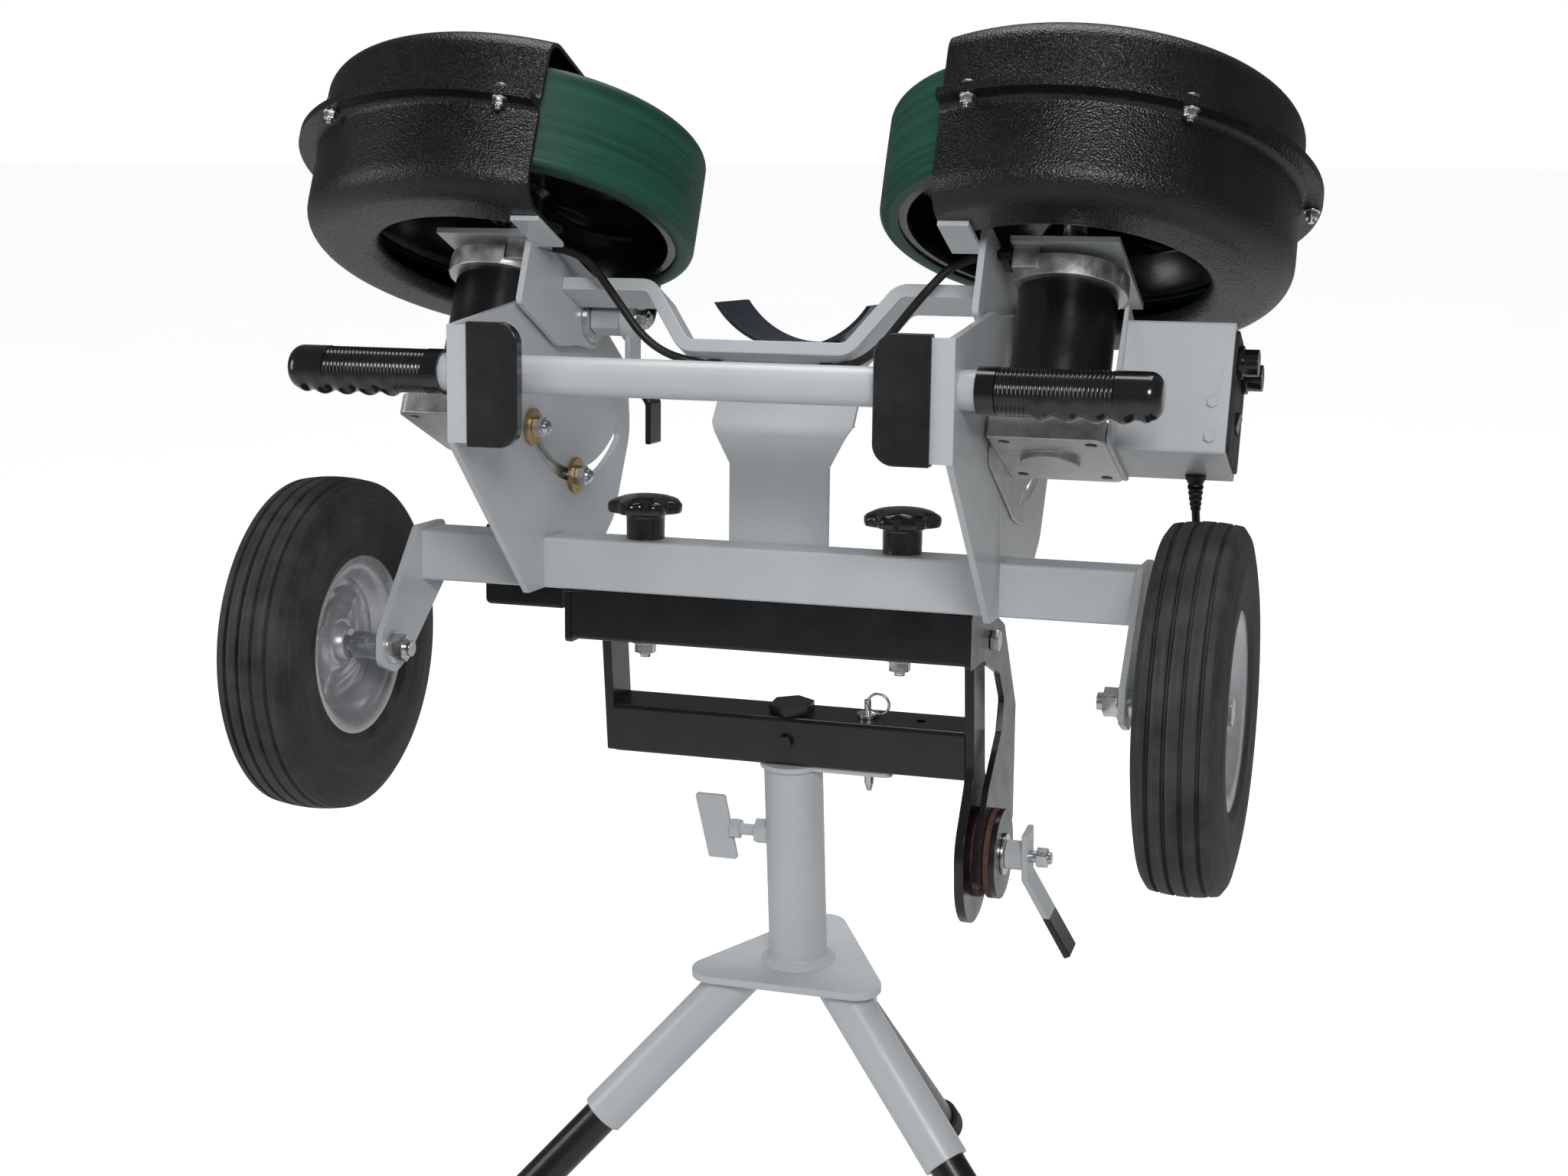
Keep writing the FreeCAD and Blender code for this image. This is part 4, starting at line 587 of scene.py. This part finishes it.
def knob(side):
    """Glossy lobed clamp knob with its threaded stud."""
    node = "knob_" + side
    up = Vector(FRAME_UP)
    start = Vector(JOINTS[node + "_turn"]["pos_m"])
    heights = [(v.co - start).dot(up) for v in frame["nodes"][node].data.vertices]
    where = place(start + up * max(heights), FRAME_UP)
    profile = [(0, -0.2), (12, -0.5), (22, -2), (30, -4.2), (34.5, -6.2), (37, -8.6), (37.5, -11)]
    profile += [(37.3, -15), (36, -17.6), (32, -18.6), (24, -18.8), (21, -19.6), (19.4, -21), (19, -24)]
    profile += [(18.8, KNOB["stem_end"]), (0, KNOB["stem_end"])]
    lathe(node + "_head", profile, where, node, "gloss", 168, node, wobble=scallop, sharp=45)
    t = THREAD
    depth = (max(heights) - min(heights)) / MM
    turns = int((depth + t["start"] - 2) / t["pitch"])
    threads = [(0, t["start"] + 1)]
    threads += [(t["crest"] if i % 2 else t["root"], t["start"] - i * t["pitch"]) for i in range(turns)]
    threads += [(t["tip"], -depth + 0.6), (0, -depth + 0.2)]
    lathe(node + "_stud", threads, where, node, "zinc", 24, sharp=80)


GRIP = {"length": 155.0, "rings": (16.0, 116.0), "pitch": 3.7, "radius": 19.4, "step": 0.95, "end": 12.0,
        "grooves": (42.0, 146.0), "waves": 4.5, "drop": 20.6, "swell": 3.6, "plain": 1.3, "dome": 11.0,
        "mouth": 16.275}


def grip_radius(s, down):
    """Radius at a distance from the inner end; down runs from 0 at the side to 1 underneath."""
    g = GRIP
    ringed = g["rings"][0] < s < g["rings"][1]
    ring = g["step"] * abs(math.sin(math.pi * (s - g["rings"][0]) / g["pitch"]))
    radius = g["radius"] + (ring if ringed else g["plain"])
    low, high = g["grooves"]
    if low < s < high:
        fade = min(1.0, (s - low) / 10, (high - s) / 6) * min(1.0, down * 1.6)
        wave = 0.5 - 0.5 * math.cos((s - low) / (high - low) * g["waves"] * TAU)
        radius = radius * (1 - fade) + (g["drop"] + g["swell"] * wave * down) * fade
    end = max(0.0, (s - g["length"] + g["end"]) / g["end"])
    return radius - g["dome"] * (1 - math.sqrt(max(0.0, 1 - end * end)))


def grips():
    """Ribbed handle grips with finger grooves underneath."""
    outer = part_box("grips")[1].x
    bar_low, bar_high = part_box("handlebar")
    centre = (bar_low + bar_high) / 2
    length, around, steps = GRIP["length"], 64, 420
    for side, sign in SIDES.items():
        bm = bmesh.new()
        rows = []
        for i in range(steps + 1):
            s = length * i / steps
            ring = []
            for j in range(around):
                a = TAU * j / around
                radius = grip_radius(s, max(0.0, -math.sin(a))) * MM
                ring.append(bm.verts.new((sign * (outer - (length - s) * MM), centre.y + radius * math.cos(a),
                                          centre.z + radius * math.sin(a))))
            rows.append(ring)
        shrink = GRIP["mouth"] / GRIP["radius"]
        rows.insert(0, [bm.verts.new((v.co.x, centre.y + (v.co.y - centre.y) * shrink,
                                      centre.z + (v.co.z - centre.z) * shrink)) for v in rows[0]])
        for first, second in zip(rows, rows[1:]):
            for j in range(around):
                k = (j + 1) % around
                bm.faces.new((first[j], first[k], second[k], second[j]))
        bm.faces.new(rows[-1])
        grip = from_bmesh("grip_" + side, bm, Matrix())
        finish_piece(grip, "tilt_frame", "gloss", "grips", sharp=70)


# ---------------------------------------------------------------- cords
def nurbs_line(name, points, radius=0.0, steps=16):
    """One smooth spline with the given control points, in metres, as thick as its radius."""
    curve = bpy.data.curves.new(name, "CURVE")
    curve.dimensions = "3D"
    curve.bevel_depth = radius
    curve.bevel_resolution = 5
    curve.use_fill_caps = True
    curve.resolution_u = steps
    spline = curve.splines.new("NURBS")
    spline.points.add(len(points) - 1)
    for point, co in zip(spline.points, points):
        point.co = (*co, 1)
    spline.order_u = 3
    spline.use_endpoint_u = True
    obj = bpy.data.objects.new(name, curve)
    bpy.context.scene.collection.objects.link(obj)
    return obj


RELIEF = {"base": 8.4, "rib": 1.1, "ribs": 6, "collar": 0.14, "collar_step": 1.0, "around": 24}


def relief_radius(share, tip):
    """Radius along a strain relief, in mm: a collar, then ribs on a taper."""
    r = RELIEF
    taper = r["base"] + (tip - r["base"]) * share
    if share < r["collar"]:
        return taper + r["collar_step"]
    return taper - r["rib"] * (0.5 - 0.5 * math.cos(share * r["ribs"] * TAU)) ** 2


def strain_relief(name, points, end):
    """Tapered ribbed sleeve round the first stretch of a cord that has these control points."""
    line = nurbs_line(name + "_route", points, steps=60)
    route = [v.co.copy() for v in bpy.data.meshes.new_from_object(line).vertices]
    bpy.data.objects.remove(line)
    bm = bmesh.new()
    rows, gone, around = [], 0.0, RELIEF["around"]
    for here, ahead in zip(route, route[1:]):
        if gone > end["length"] * MM:
            break
        turn = (ahead - here).to_track_quat("Z", "Y")
        radius = relief_radius(gone / (end["length"] * MM), end["tip"]) * MM
        spokes = [TAU * j / around for j in range(around)]
        rows.append([bm.verts.new(here + turn @ Vector((radius * math.cos(a), radius * math.sin(a), 0)))
                     for a in spokes])
        gone += (ahead - here).length
    for first, second in zip(rows, rows[1:]):
        for j in range(around):
            k = (j + 1) % around
            bm.faces.new((first[j], first[k], second[k], second[j]))
    bm.faces.new(rows[0])
    bm.faces.new(rows[-1])
    sleeve = finish_piece(from_bmesh(name, bm, Matrix()), "throw_head", "cable", sharp=60)
    return sleeve


def cord(name, node, points, size, reliefs):
    """A hanging cord on the throwing head, given its real length and diameter in mm; the length is not used.

    Each relief is (direction along the points, its sizes)."""
    length, diameter = size
    lead = nurbs_line(name, points, diameter / 2 * MM)
    lead.data.materials.append(MAT["cable"])
    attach(lead, "throw_head")
    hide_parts(node)
    sleeves = [strain_relief("%s_relief_%d" % (name, i), points[::way], end)
               for i, (way, end) in enumerate(reliefs)]


MOTOR_CABLE_HALF = [(246, -111, 32), (190, -111, 32), (150, -105, -14), (112, -86, -60), (70, -55, -65)]
MOTOR_CABLE_LOW = (0, -55, -68)
CORD_EXIT = (408, -32, -146)
POWER_CORD = [(0, 0, 0), (0, 2, -26), (-1, 19, -49), (-3, 46, -80), (-5, 69, -119), (-7, 81, -162),
              (-8, 85, -204)]
MOTOR_LEAD_SIZE = (590, 8)
MAINS_LEAD_SIZE = (227, 7.5)
GLAND = {"length": 26, "tip": 4.9}
MAINS_RELIEF = {"length": 34, "tip": 4.7}


def motor_cable():
    """The lead that joins the two motors under the strap."""
    where = joint_place("head_pitch", HEAD_UP)
    local = [(-x, y, z) for x, y, z in MOTOR_CABLE_HALF] + [MOTOR_CABLE_LOW] + MOTOR_CABLE_HALF[::-1]
    points = [where @ (Vector(p) * MM) for p in local]
    cord("motor_lead", "motor_cable", points, MOTOR_LEAD_SIZE, [(1, GLAND), (-1, GLAND)])


def power_cord():
    """The mains pigtail that hangs from the control box, with its moulded plug."""
    start = joint_place("head_pitch", HEAD_UP) @ (Vector(CORD_EXIT) * MM)
    points = [start + Vector(p) * MM for p in POWER_CORD]
    plug = refined("power_plug", "gloss", "throw_head", 0.4)
    cord("mains_lead", "power_cord", points, MAINS_LEAD_SIZE, [(1, MAINS_RELIEF)])


# ---------------------------------------------------------------- everything else keeps its CAD shape
BODIES = frame["record"]["behaviour"]["bodies"]
BODY_OF = {node: body for body, nodes in BODIES.items() for node in nodes}
SOFTENED = {
    "grey": ("tripod_head", "post_tube", "clamp_screw", "crossbar", "side_plate_left", "side_plate_right",
             "handlebar", "wheel_arms", "cradle_bracket", "head_plate_left", "head_plate_right",
             "cross_strap", "control_box"),
    "black": ("swivel_bar", "swivel_plate_left", "swivel_plate_right", "spindle", "pressure_disc", "tilt_bar",
              "tilt_plate_left", "tilt_sector"),
    "leg": ("leg_tubes",),
    "rubber": ("feet",),
    "nylon": ("post_bushing",),
    "zinc": ("swivel_fasteners", "lock_pin", "frame_fasteners", "head_fasteners"),
    "brass": ("slot_washers",),
    "alloy": ("motor_castings",),
    "can": ("motor_cans",),
    "fibre": ("friction_discs",),
    "vinyl": ("edge_covers",),
    "cradle": ("ball_cradle",),
    "matte": ("junction_box", "control_panel", "cable_clips"),
    "gloss": ("dial_left", "dial_right", "power_switch"),
}
EDGE_WIDTH = {"edge_covers": 4.5, "motor_castings": 1.2, "crossbar": 0.5, "junction_box": 1.0,
              "cross_strap": 1.2, "feet": 1.5, "handlebar": 0.4, "cable_clips": 0.3, "lock_pin": 0.3,
              "tilt_bar": 0.4, "swivel_bar": 0.4}
LEVER_EDGE = 1.0


def softened_nodes():
    for material, nodes in SOFTENED.items():
        for node in nodes:
            refined(node, material, BODY_OF[node], EDGE_WIDTH.get(node, 0.7))
    for lever in DIPPED:
        refined(lever, dipped_grip(lever), lever, LEVER_EDGE)


# ---------------------------------------------------------------- stage
CAMERA = {"yaw": 18.29, "pitch": 15.93, "roll": -1.51, "lens": 51.4, "eye": (0.6696, -2.1969, 1.5682)}


def camera():
    data = bpy.data.cameras.new("camera")
    data.lens = CAMERA["lens"]
    data.sensor_width = 36
    obj = bpy.data.objects.new("camera", data)
    turn = (Matrix.Rotation(math.radians(CAMERA["yaw"]), 4, "Z")
            @ Matrix.Rotation(math.radians(90 - CAMERA["pitch"]), 4, "X")
            @ Matrix.Rotation(math.radians(CAMERA["roll"]), 4, "Z"))
    obj.matrix_world = Matrix.Translation(CAMERA["eye"]) @ turn
    bpy.context.scene.collection.objects.link(obj)
    bpy.context.scene.camera = obj


LIGHTS = {
    "key": {"place": (1.3, -3.0, 2.9), "aim": 1.1, "size": (1.0, 0.8), "power": 52},
    "fill": {"place": (-2.8, -1.8, 1.8), "aim": 1.0, "size": (1.2, 1.6), "power": 22},
    "top": {"place": (0, 0.6, 3.4), "aim": 1.0, "size": (2.0, 1.6), "power": 38},
    "back": {"place": (-0.6, 3.4, 2.2), "aim": 1.0, "size": (2.0, 1.4), "power": 34},
}
FLOOR = {"half_span": 14.0, "glow": 0.05, "seen_glow": 0.78}
SURROUND = {"seen": 1.0, "light": 0.32, "mirrored": 0.10}


def area_light(name):
    """A soft box aimed at a height above the middle of the floor."""
    light = LIGHTS[name]
    data = bpy.data.lights.new(name, "AREA")
    data.shape = "RECTANGLE"
    data.size, data.size_y = light["size"]
    data.energy = light["power"]
    obj = bpy.data.objects.new(name, data)
    obj.location = light["place"]
    toward = Vector((0, 0, light["aim"])) - Vector(light["place"])
    obj.rotation_euler = toward.to_track_quat("-Z", "Y").to_euler()
    bpy.context.scene.collection.objects.link(obj)
    return obj


def studio_floor():
    """Pale seamless floor that the camera sees lighter than the machine does."""
    mesh = bpy.data.meshes.new("floor")
    span = FLOOR["half_span"]
    corners = [(-span, -span, 0), (span, -span, 0), (span, span, 0), (-span, span, 0)]
    mesh.from_pydata(corners, [], [(0, 1, 2, 3)])
    obj = bpy.data.objects.new("floor", mesh)
    bpy.context.scene.collection.objects.link(obj)
    s = Shade("studio_floor", rough=0.7)
    ray = s.node("ShaderNodeLightPath")
    glow = s.remap(ray.outputs["Is Camera Ray"], 0.0, 1.0, FLOOR["glow"], FLOOR["seen_glow"])
    s.link(glow, s.bsdf.inputs["Emission Strength"])
    s.bsdf.inputs["Emission Color"].default_value = (1, 1, 1, 1)
    color = s.blend(s.remap(s.noise(2, 2), 0.3, 0.7, 0.0, 1.0), (0.61, 0.61, 0.61), (0.63, 0.63, 0.63))
    mesh.materials.append(s.finish(color))


def surround():
    """Even white surround, dimmer for light that falls on the machine and dimmer still in reflections."""
    world = bpy.data.worlds.new("surround")
    world.use_nodes = True
    tree = world.node_tree
    backdrop = tree.nodes["Background"]
    backdrop.inputs["Color"].default_value = (1, 1, 1, 1)
    ray = tree.nodes.new("ShaderNodeLightPath")
    level = tree.nodes.new("ShaderNodeMapRange")
    level.inputs["To Max"].default_value = SURROUND["seen"]
    mirrored = tree.nodes.new("ShaderNodeMapRange")
    mirrored.inputs["To Min"].default_value = SURROUND["light"]
    mirrored.inputs["To Max"].default_value = SURROUND["mirrored"]
    tree.links.new(ray.outputs["Is Glossy Ray"], mirrored.inputs["Value"])
    tree.links.new(mirrored.outputs["Result"], level.inputs["To Min"])
    tree.links.new(ray.outputs["Is Camera Ray"], level.inputs["Value"])
    tree.links.new(level.outputs["Result"], backdrop.inputs["Strength"])
    bpy.context.scene.world = world


def stage():
    studio_floor()
    for name in LIGHTS:
        area_light(name)
    bpy.data.objects["back"].visible_glossy = False
    surround()
    bpy.context.scene.view_settings.view_transform = "Standard"


camera()
motor_cable()
power_cord()
wheels()
for side in SIDES:
    tyre(side)
    knob(side)
grips()
softened_nodes()
stage()
